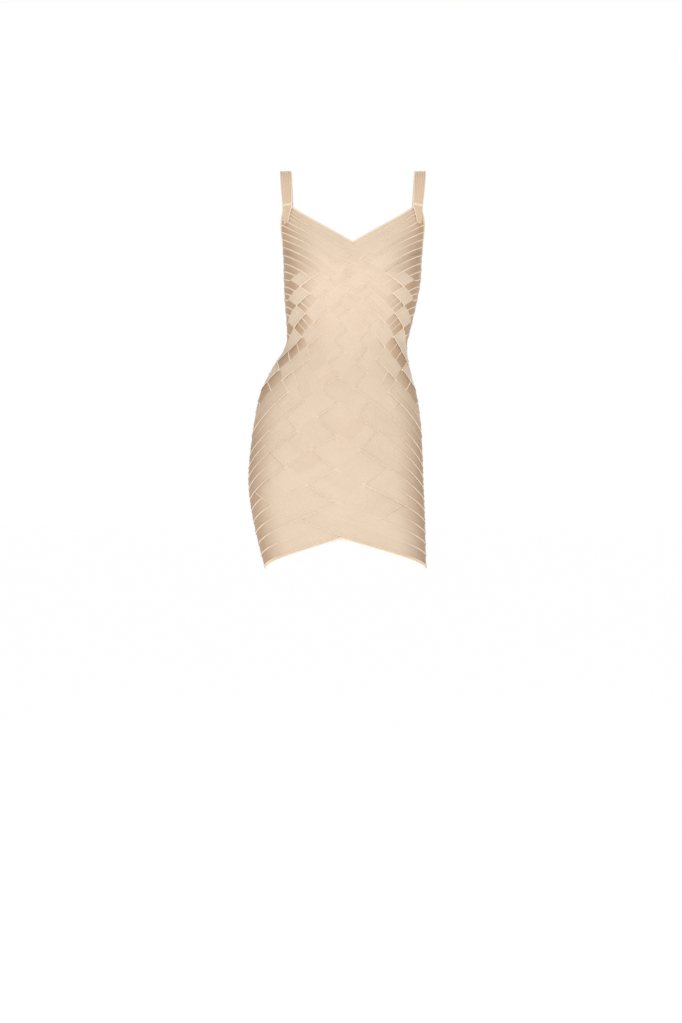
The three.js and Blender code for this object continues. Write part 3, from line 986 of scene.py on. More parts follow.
@dataclass
class Edges:
    """Finds the neck, hem and armhole edges and the seams of the dress."""

    form: BodyForm
    cut: Cut
    front: FrontFan
    back: BackFan
    line_step: float = 0.035
    samples: int = 120
    seam_samples: int = 220
    corner_samples: int = 800
    corner_drop: float = 2
    arm_ease: float = 1.6
    arm_drop: float = 1
    seam_past_arm: float = 3
    seam_from_hem: float = 2
    back_seam_past: float = 1

    def neck_height(self, side: Side, turn: Array) -> Array:
        """Gives the level of a panel's neck edge at a turn."""
        fan = self.front if side is Side.FRONT else self.back
        return fan.height(-self.line_step, -np.abs(turn))

    def hem_height(self, side: Side, turn: Array) -> Array:
        """Gives the level of a panel's hem edge at a turn."""
        fan = self.front if side is Side.FRONT else self.back
        return fan.height(fan.bands + self.line_step, np.abs(turn))

    def corner(self, side: Side) -> float:
        """Gives the turn where a panel's neck edge meets its strap."""
        t = np.linspace(0, 1, self.corner_samples)
        return float(np.interp(self.cut.top(side) - self.corner_drop, self.neck_height(side, t), t))

    def line(self, side: Side, turn: Array, z: Array, away: float) -> EdgeLine:
        """Makes an edge line through places of the form.

        Args:
            side: front or back.
            turn: places across.
            z: their levels.
            away: 1 or -1, which side of the line is off the cloth.

        Returns:
            The line.
        """
        at = self.form.lifted(side, turn, z, np.zeros_like(z))
        along = unit(np.gradient(at, axis=0))
        high = self.form.outward(side, turn, z)
        return EdgeLine(at, unit(np.cross(along, high)) * away, high)

    def neck(self, side: Side, hand: Hand) -> EdgeLine:
        """Gives a panel's neck edge, from the centre to the strap.

        Args:
            side: front or back.
            hand: left or right.

        Returns:
            The edge.
        """
        t = np.linspace(0, self.corner(side), self.samples)
        away = side.value * hand.value
        return self.line(side, hand.value * t, self.neck_height(side, t), away)

    def hem(self, side: Side, hand: Hand) -> EdgeLine:
        """Gives a panel's hem edge, from the centre to the side seam.

        Args:
            side: front or back.
            hand: left or right.

        Returns:
            The edge.
        """
        t = np.linspace(0, 1 - self.cut.seam_share, self.samples)
        away = -side.value * hand.value
        return self.line(side, hand.value * t, self.hem_height(side, t), away)

    def armhole(self, hand: Hand) -> EdgeLine:
        """Gives the armhole edge, down the front and up the back.

        Args:
            hand: left or right.

        Returns:
            The edge.
        """
        halves = []
        for side in Side:
            ease = np.linspace(0, 1, self.samples // 2) ** self.arm_ease
            z = self.cut.arm_base + (self.cut.top(side) - self.arm_drop - self.cut.arm_base) * ease
            turn = hand.value * self.cut.reach(side, z)
            halves.append((self.form.place(side, turn, z), self.form.outward(side, turn, z)))
        (front, front_high), (back, back_high) = halves
        at = np.concatenate([front[::-1], back[1:]])
        high = unit(np.concatenate([front_high[::-1], back_high[1:]]))
        along = unit(np.gradient(at, axis=0))
        return EdgeLine(at, unit(np.cross(along, high)) * -hand.value, high)

    def side_seam(self, hand: Hand, lift: float) -> Array:
        """Gives the side seam's line at a lift, from the armhole to the hem.

        Args:
            hand: left or right.
            lift: how far outwards the line lies.

        Returns:
            The line's points.
        """
        low = float(self.hem_height(Side.FRONT, np.array(1.0)))
        top = self.cut.arm_base - self.seam_past_arm
        z = np.linspace(top, low + self.seam_from_hem, self.seam_samples)
        turn = np.full_like(z, float(hand.value))
        return self.form.lifted(Side.FRONT, turn, z, np.full_like(z, lift))

    def back_seam(self, lift: float, turn: float) -> Array:
        """Gives a line at a lift beside the centre back seam, from the neck to the hem.

        Args:
            lift: how far outwards the line lies.
            turn: the line's place across.

        Returns:
            The line's points.
        """
        ends = self.back.height(np.array([0.0, float(self.back.bands)]), np.zeros(2))
        z = np.linspace(ends[0] - self.back_seam_past, ends[1] + self.back_seam_past, self.seam_samples)
        return self.form.lifted(Side.BACK, np.full_like(z, turn), z, np.full_like(z, lift))


def sweep(parts: MeshParts, line: EdgeLine, profile: Array, rim: Array, shade: Array) -> None:
    """Adds a closed section swept along a line.

    Args:
        parts: the mesh to add to.
        line: the line, with its width and height directions.
        profile: the section's points as width and height.
        rim: how light each point of the section is, from 0 to 1.
        shade: the painted shade of each point, from 0 to 1.
    """
    across, up = line.wide[:, None] * profile[:, :1], line.high[:, None] * profile[:, 1:]
    rings = line.at[:, None] + across + up
    uv = np.empty(rings.shape[:2] + (2,))
    uv[..., 0] = run_along(line.at)[:, None] * MM
    uv[..., 1] = profile[None, :, 0] * MM
    marks, shades = (np.broadcast_to(v, rings.shape[:2]).copy() for v in (rim, shade))
    parts.add_tube(rings, uv, marks, shades)


@dataclass
class Bindings:
    """The narrow rolled edges of neck, armholes and hem."""

    gap: float = -1.3
    width: float = 4.6
    half_thick: float = 1.5
    corners: int = 10
    roundness: float = 0.7
    light_from: float = 0.5
    light_gain: float = 2.4

    def profile(self) -> Array:
        """Gives the rounded section, as width off the cloth and height.

        Returns:
            The section's points.
        """
        angle = np.linspace(0, 2 * math.pi, self.corners + 1)[:-1]
        x, y = (np.sign(v) * np.abs(v) ** self.roundness for v in (np.cos(angle), np.sin(angle)))
        half = self.width / 2
        return np.stack([self.gap + half + half * x, self.half_thick * y], -1)

    def build(self, name: str, edge: EdgeLine, material: bpy.types.Material) -> bpy.types.Object:
        """Builds the binding of an edge.

        Args:
            name: the piece's name.
            edge: the line that it follows.
            material: its finish.

        Returns:
            The piece.
        """
        parts = MeshParts()
        profile = self.profile()
        off = (profile[:, 0] - self.gap) / self.width
        light = np.clip((off - self.light_from) * self.light_gain, 0, 1)
        sweep(parts, edge, profile, light, np.zeros_like(light))
        LOG.info("%s: %.0f mm of edge", name, run_along(edge.at)[-1])
        return parts.build(name, material)


@dataclass
class Strap:
    """A shoulder strap of ribbed knit, from its foot in front over the shoulder to its foot behind."""

    edges: Edges
    hand: Hand
    width: float = 22.0
    thick: float = 1.9
    lift: float = 1.8
    crown_x: float = 126.0
    crown_z: float = -2.1
    lean: float = 0.8
    ribs: int = 7
    rib_high: float = 0.45
    rib_points: int = 6
    rib_round: float = 0.7
    groove_shade: float = 0.7
    edge_run: float = 0.9
    edge_thick: float = 0.35
    light_from: float = 1.8
    light_over: float = 1.4
    light_most: float = 0.8
    light_least: float = 0.1
    base_inset: float = 0.3
    base_shade: float = 0.3
    front_foot: float = -101
    back_foot: float = -117
    foot_turn: float = 0.02
    foot_stations: int = 14
    arc_stations: int = 34
    stations_in_all: int = 240
    tip_share: float = 0.42
    tip_length: float = 30
    tip_seam: float = 6
    seam_from_foot: float = 36
    seam_inset: float = 1.5
    seam_points: int = 12
    seam_lift: float = 0.1
    welt_high: float = 0.8
    welt_width: float = 1.6
    welt_highlight: float = 0.9

    def foot(self, side: Side, turn: float, z: Array) -> tuple[Array, Array]:
        """Gives points and width directions of a foot on its panel.

        Args:
            side: front or back.
            turn: the foot's place across.
            z: levels.

        Returns:
            The points and the directions.
        """
        form = self.edges.form
        turns = np.full_like(z, turn)
        wide = form.place(side, turns + self.foot_turn, z) - form.place(side, turns - self.foot_turn, z)
        return form.lifted(side, turns, z, np.full_like(z, self.lift)), unit(wide)

    def half(self, side: Side) -> tuple[Array, Array]:
        """Gives points and width directions of one half, from its foot to the crown.

        Args:
            side: front or back.

        Returns:
            The points and the directions.
        """
        edges, cut = self.edges, self.edges.cut
        top = cut.top(side)
        turn = self.hand.value * (edges.corner(side) + float(cut.reach(side, np.array(top)))) / 2
        low = self.front_foot if side is Side.FRONT else self.back_foot
        at, wide = self.foot(side, turn, np.linspace(low, top, self.foot_stations))
        crown = np.array([self.hand.value * self.crown_x, 0.0, self.crown_z])
        t = np.linspace(0, 1, self.arc_stations)[1:, None]
        rise, run = np.sin(t * math.pi / 2), (1 - np.cos(t * math.pi / 2)) ** self.lean
        share = np.concatenate([rise, run, rise], 1)
        arc = at[-1] + (crown - at[-1]) * share
        turned = unit(wide[-1] + (np.array([1.0, 0, 0]) - wide[-1]) * t)
        return np.concatenate([at, arc]), np.concatenate([wide, turned])

    def stations(self) -> EdgeLine:
        """Gives the strap's line with its width and height directions; its front end is narrower.

        Returns:
            The line.
        """
        front, front_wide = self.half(Side.FRONT)
        back, back_wide = self.half(Side.BACK)
        at = np.concatenate([front, back[-2::-1]])
        wide = np.concatenate([front_wide, back_wide[-2::-1]])
        run = unit(np.gradient(at, axis=0))
        wide = unit(wide - run * np.sum(wide * run, -1, keepdims=True))
        high = unit(np.cross(wide, run))
        along = np.clip(run_along(at) / self.tip_length, 0, 1)[:, None]
        share = self.tip_share + (1 - self.tip_share) * along
        outer = self.hand.value * (1 - share) * self.width / 2
        return EdgeLine(at + wide * outer, wide * share, high)

    def profile(self) -> tuple[Array, Array, Array]:
        """Gives the ribbed section, how much lighter its points are towards the edges, and their painted
        shade.

        Returns:
            The section's points, their lightness, and their painted shade in the grooves and underneath.
        """
        half = self.width / 2
        across = np.linspace(half, -half, self.ribs * self.rib_points + 1)
        wave = np.abs(np.sin((across / self.width + 0.5) * self.ribs * math.pi)) ** self.rib_round
        edge = np.sqrt(np.clip((half - np.abs(across)) / self.edge_run, 0, 1))
        full = self.edge_thick + (1 - self.edge_thick) * edge
        height = (self.thick - self.rib_high * (1 - wave)) * full
        base = np.array([self.base_inset - half, 0.0, half - self.base_inset])
        points = np.stack([np.r_[across, base], np.r_[height, np.zeros(3)]], -1)
        light = np.clip((np.abs(across) - half + self.light_from) / self.light_over, 0, 1) * self.light_most
        # Painted shade in the grooves between ribs, away from the lighter edges; the base points get
        # painted shade underneath.
        deep = (1 - wave) * self.groove_shade * (light < self.light_least)
        return points, np.r_[light, np.zeros(3)], np.r_[deep, np.full(3, self.base_shade)]

    def welt(self, at: Array) -> Array:
        """Gives the raised welts across the strap at its seams, from 0 to 1 along the run.

        Args:
            at: the strap's points.

        Returns:
            One height for each point.
        """
        run = run_along(at)
        places = (self.seam_from_foot, run[-1] - self.seam_from_foot)
        return sum(np.exp(-(((run - place) / self.welt_width) ** 2)) for place in places)

    def seam_lines(self, off: float) -> list[Array]:
        """Gives the lines of stitches across the strap near its two feet.

        Args:
            off: how far from the seams the stitches lie.

        Returns:
            The points of each line.
        """
        line = self.stations()
        run = run_along(line.at)
        half, lines = self.width / 2 - self.seam_inset, []
        across = np.linspace(-half, half, self.seam_points)[:, None]
        near = (self.tip_seam, self.seam_from_foot + off)
        for place in (*near, *(run[-1] - v for v in near[::-1])):
            point, wide, high = (place_at(place, run, v) for v in (line.at, line.wide, line.high))
            lines.append(point + wide * across + high * (self.thick + self.seam_lift))
        return lines

    def build(self, material: bpy.types.Material) -> bpy.types.Object:
        """Builds the strap.

        Args:
            material: its finish.

        Returns:
            The piece.
        """
        parts = MeshParts()
        rough = self.stations()
        count = np.arange(len(rough.at))
        fine = np.linspace(0, count[-1], self.stations_in_all)
        at, wide, high = (place_at(fine, count, v) for v in (rough.at, rough.wide, rough.high))
        profile, light, deep = self.profile()
        welt = self.welt(at)[:, None]
        # Painted highlight on the raised welts at the seams.
        light = np.maximum(light[None, :], self.welt_highlight * welt)
        sweep(parts, EdgeLine(at + high * self.welt_high * welt, wide, unit(high)), profile, light, deep)
        name = f"strap_knit_{self.hand.word}"
        LOG.info("%s: %.1f mm wide", name, self.width)
        return parts.build(name, material)


class Graph:
    """Adds nodes to a node tree and joins them."""

    def __init__(self, tree: bpy.types.NodeTree) -> None:
        """Takes the tree to work on."""
        self.tree = tree

    def add(self, kind: str, inputs: dict | None = None, **settings: object) -> bpy.types.Node:
        """Adds a node.

        Args:
            kind: the node's type.
            inputs: a value or an output for each input, by name or number.
            settings: the node's own settings.

        Returns:
            The node.
        """
        node = self.tree.nodes.new(kind)
        for key, value in settings.items():
            setattr(node, key, value)
        for key, value in (inputs or {}).items():
            self.put(node.inputs[key], value)
        return node

    def put(self, socket: bpy.types.NodeSocket, value: object) -> None:
        """Joins an output to a socket, or sets the socket's own value.

        Args:
            socket: an input.
            value: an output or a plain value.
        """
        if isinstance(value, bpy.types.NodeSocket):
            self.tree.links.new(value, socket)
        else:
            socket.default_value = value

    def math(self, operation: str, *values: object) -> bpy.types.NodeSocket:
        """Adds a Math node on up to three values."""
        return self.add("ShaderNodeMath", dict(enumerate(values)), operation=operation).outputs[0]


Group = tuple[bpy.types.NodeTree, Graph, bpy.types.Node, bpy.types.Node]


def new_group(name: str, kind: str, inputs: dict[str, str], outputs: dict[str, str]) -> Group:
    """Makes a node group with named inputs and outputs.

    Args:
        name: the group's name.
        kind: the tree's type.
        inputs: socket type by input name.
        outputs: socket type by output name.

    Returns:
        The group, its graph, its input node and its output node.
    """
    tree = bpy.data.node_groups.new(name, kind)
    for way, sockets in (("INPUT", inputs), ("OUTPUT", outputs)):
        for label, socket in sockets.items():
            tree.interface.new_socket(name=label, in_out=way, socket_type=socket)
    graph = Graph(tree)
    return tree, graph, graph.add("NodeGroupInput"), graph.add("NodeGroupOutput")


class KnitShading:
    """Makes the knit materials from two shared node groups: relief and colour."""

    FLOAT = "NodeSocketFloat"
    COLOUR = "NodeSocketColor"
    LOOP_SLANT, LOOP_HEIGHT, RIB_HEIGHT = 1.2, 0.45, 0.55
    CLOUD_SCALE, CLOUD_DETAIL, CLOUD_DEPTH = 22.0, 3.0, 0.2
    # The hollow and shade depths set painted shade; the edge cover sets the raised edges' lighter colour
    # with painted highlight.
    HOLLOW_DEPTH, SHADE_DEPTH, EDGE_COVER = 0.22, 0.8, 0.95
    BUMP_STRENGTH, SHEEN_ROUGHNESS, SPECULAR = 0.8, 0.35, 0.35

    def __init__(self) -> None:
        """Makes the shared groups."""
        self.relief = self.make_relief()
        self.colour = self.make_colour()

    def make_relief(self) -> bpy.types.NodeTree:
        """Makes the group that gives the height of ribs and knit loops.

        Returns:
            The group.
        """
        inputs = {"Along": self.FLOAT, "Across": self.FLOAT, "Rib": self.FLOAT, "Course": self.FLOAT}
        tree, g, source, out = new_group("knit_relief", "ShaderNodeTree", inputs, {"Height": self.FLOAT})
        across = g.math("DIVIDE", source.outputs["Across"], source.outputs["Rib"])
        along = g.math("DIVIDE", source.outputs["Along"], source.outputs["Course"])
        leg = g.math("ABSOLUTE", g.math("SUBTRACT", g.math("FRACT", across), 0.5))
        rib = g.math("SINE", g.math("MULTIPLY", leg, math.pi))
        slanted = g.math("ADD", along, g.math("MULTIPLY", leg, self.LOOP_SLANT))
        loop = g.math("ABSOLUTE", g.math("SINE", g.math("MULTIPLY", slanted, math.pi)))
        high = g.math("SUBTRACT", 1.0, g.math("MULTIPLY", rib, rib))
        ribbed = g.math("MULTIPLY", high, self.RIB_HEIGHT)
        mixed = g.math("MULTIPLY_ADD", loop, self.LOOP_HEIGHT, ribbed)
        g.put(out.inputs["Height"], mixed)
        return tree

    def make_colour(self) -> bpy.types.NodeTree:
        """Makes the group that colours the yarn: painted shade in the knit's low hollows and from the shade
        attribute, the raised edges' lighter colour with painted highlight, and uneven dye.

        Returns:
            The group.
        """
        inputs = dict.fromkeys(("Face", "Deep", "Rim"), self.COLOUR)
        inputs.update(dict.fromkeys(("Height", "Edge", "Shade"), self.FLOAT))
        tree, g, source, out = new_group("knit_colour", "ShaderNodeTree", inputs, {"Colour": self.COLOUR})
        place = g.add("ShaderNodeTexCoord").outputs["Object"]
        noise = {"Vector": place, "Scale": self.CLOUD_SCALE, "Detail": self.CLOUD_DETAIL}
        cloud = g.math("SUBTRACT", g.add("ShaderNodeTexNoise", noise).outputs[0], 0.5)
        # Painted shade in the knit's hollows, where its height is low, mixed with uneven dye from the
        # cloud.
        low = g.math("SUBTRACT", 1.0, source.outputs["Height"])
        hollow = g.math("MULTIPLY", low, self.HOLLOW_DEPTH)
        dye_and_hollow_shade = g.math("MULTIPLY_ADD", cloud, self.CLOUD_DEPTH, hollow)
        # Painted shade from the shade attribute.
        deep = g.math("MULTIPLY_ADD", source.outputs["Shade"], self.SHADE_DEPTH, dye_and_hollow_shade)
        body = self.blend(g, deep, source.outputs["Face"], source.outputs["Deep"])
        # Raised edges take the rim colour: their lighter yarn with painted highlight.
        edge = g.math("MULTIPLY", source.outputs["Edge"], self.EDGE_COVER)
        g.put(out.inputs["Colour"], self.blend(g, edge, body, source.outputs["Rim"]))
        return tree

    @staticmethod
    def blend(
        g: Graph, share: bpy.types.NodeSocket, low: bpy.types.NodeSocket, high: bpy.types.NodeSocket
    ) -> bpy.types.NodeSocket:
        """Blends two colours by a share.

        Args:
            g: the graph to add to.
            share: how much of the second colour there is.
            low: the first colour.
            high: the second colour.

        Returns:
            The blended colour.
        """
        node = g.add("ShaderNodeMix", data_type="RGBA", clamp_factor=True)
        colours = [s for s in node.inputs if s.type == "RGBA"]
        g.put(node.inputs[0], share)
        g.put(colours[0], low)
        g.put(colours[1], high)
        return [s for s in node.outputs if s.type == "RGBA"][0]

    def material(self, finish: KnitFinish) -> bpy.types.Material:
        """Makes the material of a knitted finish.

        Args:
            finish: its colours, ribs and sheen.

        Returns:
            The material.
        """
        material = bpy.data.materials.new(finish.name)
        material.use_nodes = True
        g = Graph(material.node_tree)
        material.node_tree.nodes.clear()
        band = g.add("ShaderNodeSeparateXYZ", {0: g.add("ShaderNodeUVMap", uv_map="band").outputs[0]})
        ribs = {
            "Along": band.outputs[0],
            "Across": band.outputs[1],
            "Rib": finish.rib_mm * MM,
            "Course": finish.course_mm * MM,
        }
        height = g.add("ShaderNodeGroup", ribs, node_tree=self.relief).outputs["Height"]
        # Deep and Shade paint shade; Rim and Edge give raised edges their lighter colour with painted
        # highlight.
        yarn = {
            "Face": (*finish.face, 1),
            "Deep": (*finish.deep, 1),
            "Rim": (*finish.rim, 1),
            "Height": height,
            "Edge": g.add("ShaderNodeAttribute", attribute_name="rim").outputs["Fac"],
            "Shade": g.add("ShaderNodeAttribute", attribute_name="shade").outputs["Fac"],
        }
        colour = g.add("ShaderNodeGroup", yarn, node_tree=self.colour)
        bump = {"Strength": self.BUMP_STRENGTH, "Distance": finish.relief_mm * MM, "Height": height}
        surface = {
            "Base Color": colour.outputs["Colour"],
            "Roughness": finish.roughness,
            "Sheen Weight": finish.sheen,
            "Sheen Roughness": self.SHEEN_ROUGHNESS,
            "Specular IOR Level": self.SPECULAR,
            "Normal": g.add("ShaderNodeBump", bump).outputs[0],
        }
        shader = g.add("ShaderNodeBsdfPrincipled", surface)
        out = g.add("ShaderNodeOutputMaterial")
        g.put(out.inputs["Surface"], shader.outputs[0])
        return material


class StitchLayer:
    """Sets small knit beads or stitches along lines with one Geometry Nodes group."""

    GEOMETRY = "NodeSocketGeometry"

    def __init__(self) -> None:
        """Makes the group."""
        self.group, self.sockets = self.make_group()

    def make_group(self) -> tuple[bpy.types.NodeTree, dict[str, str]]:
        """Makes the group that sets a bead at even steps along each line.

        Returns:
            The group, and the identifier of each named input.
        """
        number = "NodeSocketFloat"
        inputs = {
            "Geometry": self.GEOMETRY,
            "Spacing": number,
            "Size": "NodeSocketVector",
            "Turn": number,
            "Uneven": number,
            "Seed": "NodeSocketInt",
            "Material": "NodeSocketMaterial",
        }
        outputs = {"Geometry": self.GEOMETRY}
        tree, g, source, out = new_group("beads_on_lines", "GeometryNodeTree", inputs, outputs)
        given = source.outputs
        curve = g.add("GeometryNodeMeshToCurve", {"Mesh": given["Geometry"]})
        steps = {"Curve": curve.outputs[0], "Length": given["Spacing"]}
        even = g.add("GeometryNodeResampleCurve", steps, mode="LENGTH")
        tangent = g.add("GeometryNodeInputTangent")
        up = g.add("GeometryNodeInputNamedAttribute", {"Name": "outward"}, data_type="FLOAT_VECTOR")
        align = "FunctionNodeAlignRotationToVector"
        along = g.add(align, {"Vector": tangent.outputs[0]}, axis="X")
        raised = {"Rotation": along.outputs[0], "Vector": up.outputs[0]}
        upright = g.add(align, raised, axis="Z", pivot_axis="X")
        spin = g.add("FunctionNodeAxisAngleToRotation", {"Axis": (0, 0, 1), "Angle": given["Turn"]})
        turns = {"Rotation": upright.outputs[0], "Rotate By": spin.outputs[0]}
        turned = g.add("FunctionNodeRotateRotation", turns, rotation_space="LOCAL")
        low = g.math("SUBTRACT", 1.0, given["Uneven"])
        high = g.math("ADD", 1.0, given["Uneven"])
        vary = g.add("FunctionNodeRandomValue", data_type="FLOAT")
        floats = [s for s in vary.inputs if s.type == "VALUE"]
        g.put(floats[0], low)
        g.put(floats[1], high)
        g.put(vary.inputs["Seed"], given["Seed"])
        varied = [s for s in vary.outputs if s.type == "VALUE"][0]
        size = g.add("ShaderNodeVectorMath", {0: given["Size"], "Scale": varied}, operation="SCALE")
        bead = g.add("GeometryNodeMeshIcoSphere", {"Radius": 1.0, "Subdivisions": 1})
        smooth_bead = g.add("GeometryNodeSetShadeSmooth", {"Geometry": bead.outputs[0]})
        layout = {
            "Points": even.outputs[0],
            "Instance": smooth_bead.outputs[0],
            "Rotation": turned.outputs[0],
            "Scale": size.outputs[0],
        }
        placed = g.add("GeometryNodeInstanceOnPoints", layout)
        real = g.add("GeometryNodeRealizeInstances", {"Geometry": placed.outputs[0]})
        dress = {"Geometry": real.outputs[0], "Material": given["Material"]}
        g.put(out.inputs["Geometry"], g.add("GeometryNodeSetMaterial", dress).outputs[0])
        names = {
            item.name: item.identifier
            for item in tree.interface.items_tree
            if item.item_type == "SOCKET" and item.in_out == "INPUT"
        }
        return tree, names

    def build(
        self,
        name: str,
        lines: list[Array],
        ways: list[Array],
        stitch: Stitch,
        material: bpy.types.Material,
        seed: int = 3,
    ) -> bpy.types.Object:
        """Builds beads along lines as one piece.

        Args:
            name: the piece's name.
            lines: points of each line.
            ways: the outward direction of each line.
            stitch: the bead and its step.
            material: their finish.
            seed: the seed of their uneven sizes.

        Returns:
            The piece.
        """
        mesh = bpy.data.meshes.new(name)
        edges, start = [], 0
        for points in lines:
            edges += [(start + i, start + i + 1) for i in range(len(points) - 1)]
            start += len(points)
        mesh.from_pydata((np.concatenate(lines) * MM).tolist(), edges, [])
        outwards = np.repeat(np.array(ways, np.float32), [len(points) for points in lines], axis=0)
        outward = mesh.attributes.new("outward", "FLOAT_VECTOR", "POINT")
        outward.data.foreach_set("vector", outwards.ravel())
        guide = new_object(name, mesh)
        modifier = guide.modifiers.new("beads", "NODES")
        modifier.node_group = self.group
        values = {
            "Spacing": stitch.spacing * MM,
            "Size": tuple(v * MM for v in stitch.size),
            "Turn": stitch.turn,
            "Uneven": stitch.uneven,
            "Seed": seed,
            "Material": material,
        }
        for label, value in values.items():
            modifier[self.sockets[label]] = value
        depsgraph = bpy.context.evaluated_depsgraph_get()
        built = bpy.data.meshes.new_from_object(guide.evaluated_get(depsgraph))
        guide.modifiers.remove(modifier)
        guide.data = built
        built.name = name
        bpy.data.meshes.remove(mesh)
        LOG.info("%s: %d lines, %d faces", name, len(lines), len(built.polygons))
        return guide


@dataclass
class Dress:
    """The dress: bands, bindings, straps, picot beads and stitches."""

    form: BodyForm = field(default_factory=BodyForm)
    cut: Cut = field(default_factory=Cut)
    front: FrontFan = field(default_factory=FrontFan)
    back: BackFan = field(default_factory=BackFan)
    strap_seam_off: float = 2.4
    side_seam_lift: float = 1.3
    back_seam_lift: float = 1.5
    back_seam_turn: float = 0.012
    seam_seed: int = 5

    def __post_init__(self) -> None:
        """Makes the finishes, the edges and the stitch layer."""
        self.edges = Edges(self.form, self.cut, self.front, self.back)
        self.shading = KnitShading()
        self.stitches = StitchLayer()
        self.bandage, self.strap_knit, self.edge, self.thread = (
            self.shading.material(finish) for finish in (BANDAGE, STRAP_KNIT, EDGE, THREAD)
        )

    def ride(self, piece: bpy.types.Object, nodes: tuple[str, ...] = ()) -> bpy.types.Object:
        """Puts a piece on the dress's body and hides the CAD nodes it stands for.

        Args:
            piece: the piece.
            nodes: the nodes it stands for.

        Returns:
            The piece.
        """
        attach(piece, ROOT)
        if nodes:
            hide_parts(*nodes)
        return piece

    def build_bands(self) -> None:
        """Builds the front's two families and the back's two halves."""
        sets = (
            BandSet("front_bands_falling", Side.FRONT, self.form, self.cut, self.front, Hand.LEFT, seed=7),
            BandSet("front_bands_rising", Side.FRONT, self.form, self.cut, self.front, Hand.RIGHT, seed=11),
            BandSet("back_bands_left", Side.BACK, self.form, self.cut, self.back, Hand.LEFT, seed=13),
            BandSet("back_bands_right", Side.BACK, self.form, self.cut, self.back, Hand.RIGHT, seed=17),
        )
        nodes = (("front_panel",), ("front_panel",), ("back_panel_left",), ("back_panel_right",))
        for bands, stands_for in zip(sets, nodes):
            piece = self.ride(bands.build(self.bandage), stands_for)
            picot = self.stitches.build(
                f"{bands.name}_picot",
                bands.rim_lines,
                [np.array([0, bands.side.value, 0])] * len(bands.rim_lines),
                PICOT,
                self.edge,
                seed=bands.seed,
            )
            self.ride(picot)

    def build_bindings(self) -> None:
        """Builds the bound edges of neck, hem and armholes."""
        binding = Bindings()
        for hand in Hand:
            for name, line in (
                ("neck_binding", self.edges.neck(Side.FRONT, hand)),
                ("back_neck_binding", self.edges.neck(Side.BACK, hand)),
                ("hem_binding_front", self.edges.hem(Side.FRONT, hand)),
                ("hem_binding_back", self.edges.hem(Side.BACK, hand)),
                ("armhole_binding", self.edges.armhole(hand)),
            ):
                piece = binding.build(f"{name}_knit_{hand.word}", line, self.edge)
                self.ride(piece, (f"{name}_{hand.word}",))

    def build_straps(self) -> None:
        """Builds the two straps and the stitches across them."""
        for hand in Hand:
            strap = Strap(self.edges, hand)
            piece = self.ride(strap.build(self.strap_knit), (f"strap_{hand.word}",))
            lines = strap.seam_lines(-self.strap_seam_off) + strap.seam_lines(self.strap_seam_off)
            ways = [np.array([0, math.copysign(1, p[0, 1]), 0]) for p in lines]
            name = f"strap_stitches_{hand.word}"
            rows = self.ride(
                self.stitches.build(name, lines, ways, STRAP_STITCH, self.thread)
            )
            length = float(run_along(strap.stations().at)[-1]) * MM

    def build_seams(self) -> None:
        """Builds the stitches over the side seams and beside the centre back seam."""
        edges, off = self.edges, self.back_seam_turn
        seams = [
            (
                f"side_seam_stitches_{hand.word}",
                [edges.side_seam(hand, self.side_seam_lift)],
                np.array([hand.value, 0, 0]),
                SIDE_STITCH,
            )
            for hand in Hand
        ]
        beside = [edges.back_seam(self.back_seam_lift, turn) for turn in (-off, off)]
        seams.append(("back_seam_stitches", beside, np.array([0, 1, 0]), BACK_STITCH))
        for name, lines, way, stitch in seams:
            ways = [way] * len(lines)
            piece = self.stitches.build(name, lines, ways, stitch, self.thread, seed=self.seam_seed)
            self.ride(piece)

    def build(self) -> None:
        """Builds every piece."""
        self.build_bands()
        self.build_bindings()
        self.build_straps()
        self.build_seams()


@dataclass(frozen=True)
class SoftBox:
    """A large soft lamp: its name, place, size, power and colour. It faces the dress."""

    name: str
    place: tuple[float, float, float]
    size: tuple[float, float]
    power: float
    colour: tuple[float, float, float] = (1.0, 1.0, 1.0)


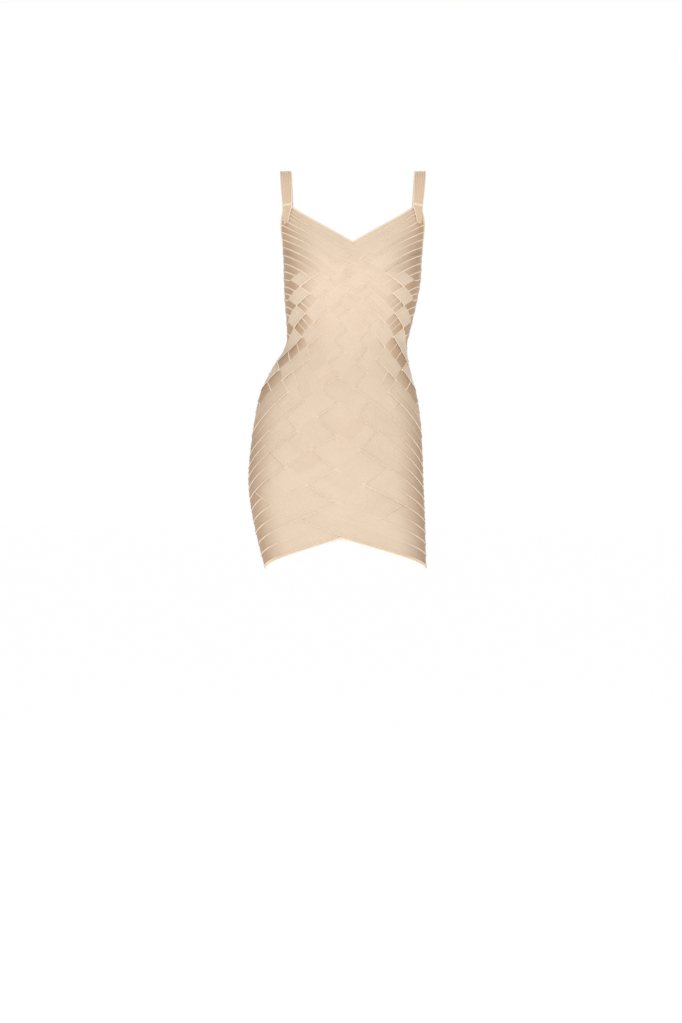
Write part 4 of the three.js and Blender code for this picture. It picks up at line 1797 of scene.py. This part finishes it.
@dataclass
class Studio:
    """The camera, lamps, pale floor and white surround."""

    camera_x: float = -0.0225
    camera_z: float = -0.639
    camera_away: float = 10.0
    frame_height: float = 1.919
    sensor: float = 36.0
    floor_z: float = -1.551
    floor_radius: float = 300.0
    target: tuple[float, float, float] = (0.0, 0.0, -0.4)
    surround: float = 1.0
    fill: float = 0.53
    floor_glow: float = 0.5
    lamps: tuple[SoftBox, ...] = (
        SoftBox("front_lamp", (-0.5, -3.4, 0.4), (1.6, 1.8), 36.0, (1.0, 0.985, 0.965)),
        SoftBox("top_lamp", (0.3, -0.8, 2.2), (1.4, 1.2), 14.0),
        SoftBox("back_lamp", (0.3, 2.8, 0.6), (1.6, 1.6), 40.0),
    )

    def build(self) -> None:
        """Builds the studio."""
        bpy.context.scene.view_settings.view_transform = "Standard"
        self.build_camera()
        self.build_floor()
        self.build_surround()
        for lamp in self.lamps:
            self.build_lamp(lamp)

    def build_camera(self) -> None:
        """Sets the camera level before the dress, at the photograph's scale."""
        data = bpy.data.cameras.new("camera")
        data.sensor_width = self.sensor
        data.lens = self.sensor * self.camera_away / self.frame_height
        camera = new_object("camera", data)
        camera.location = (self.camera_x, -self.camera_away, self.camera_z)
        camera.rotation_euler = (math.pi / 2, 0, 0)
        bpy.context.scene.camera = camera

    def build_floor(self) -> None:
        """Lays a plain pale floor."""
        mesh = bpy.data.meshes.new("floor")
        r, z = self.floor_radius, self.floor_z
        mesh.from_pydata([(-r, -r, z), (r, -r, z), (r, r, z), (-r, r, z)], [], [(0, 1, 2, 3)])
        material = bpy.data.materials.new(STUDIO.name)
        material.use_nodes = True
        shader = material.node_tree.nodes["Principled BSDF"]
        shader.inputs["Base Color"].default_value = (*STUDIO.colour, 1)
        shader.inputs["Roughness"].default_value = STUDIO.roughness
        shader.inputs["Emission Color"].default_value = (1, 1, 1, 1)
        shader.inputs["Emission Strength"].default_value = self.floor_glow
        mesh.materials.append(material)
        floor = new_object("floor", mesh)

    def build_surround(self) -> None:
        """Makes the surround white to the camera and dimmer as a light."""
        world = bpy.data.worlds.new("surround")
        world.use_nodes = True
        world.node_tree.nodes.clear()
        g = Graph(world.node_tree)
        sight = g.add("ShaderNodeLightPath").outputs["Is Camera Ray"]
        strength = g.math("MULTIPLY_ADD", sight, self.surround - self.fill, self.fill)
        shader = g.add("ShaderNodeBackground", {"Color": (1, 1, 1, 1), "Strength": strength})
        g.put(g.add("ShaderNodeOutputWorld").inputs["Surface"], shader.outputs[0])
        bpy.context.scene.world = world

    def build_lamp(self, lamp: SoftBox) -> None:
        """Hangs one lamp, turned to the dress.

        Args:
            lamp: what the lamp is like.
        """
        data = bpy.data.lights.new(lamp.name, "AREA")
        data.shape = "RECTANGLE"
        data.size, data.size_y = lamp.size
        data.energy = lamp.power
        data.color = lamp.colour
        light = new_object(lamp.name, data)
        light.location = lamp.place
        way = Vector(self.target) - Vector(lamp.place)
        light.rotation_euler = way.to_track_quat("-Z", "Y").to_euler()


def main() -> None:
    """Builds the dress and its studio."""
    logging.basicConfig(level=logging.INFO, format="%(name)s: %(message)s")
    Dress().build()
    Studio().build()


if __name__ == "__main__":
    main()
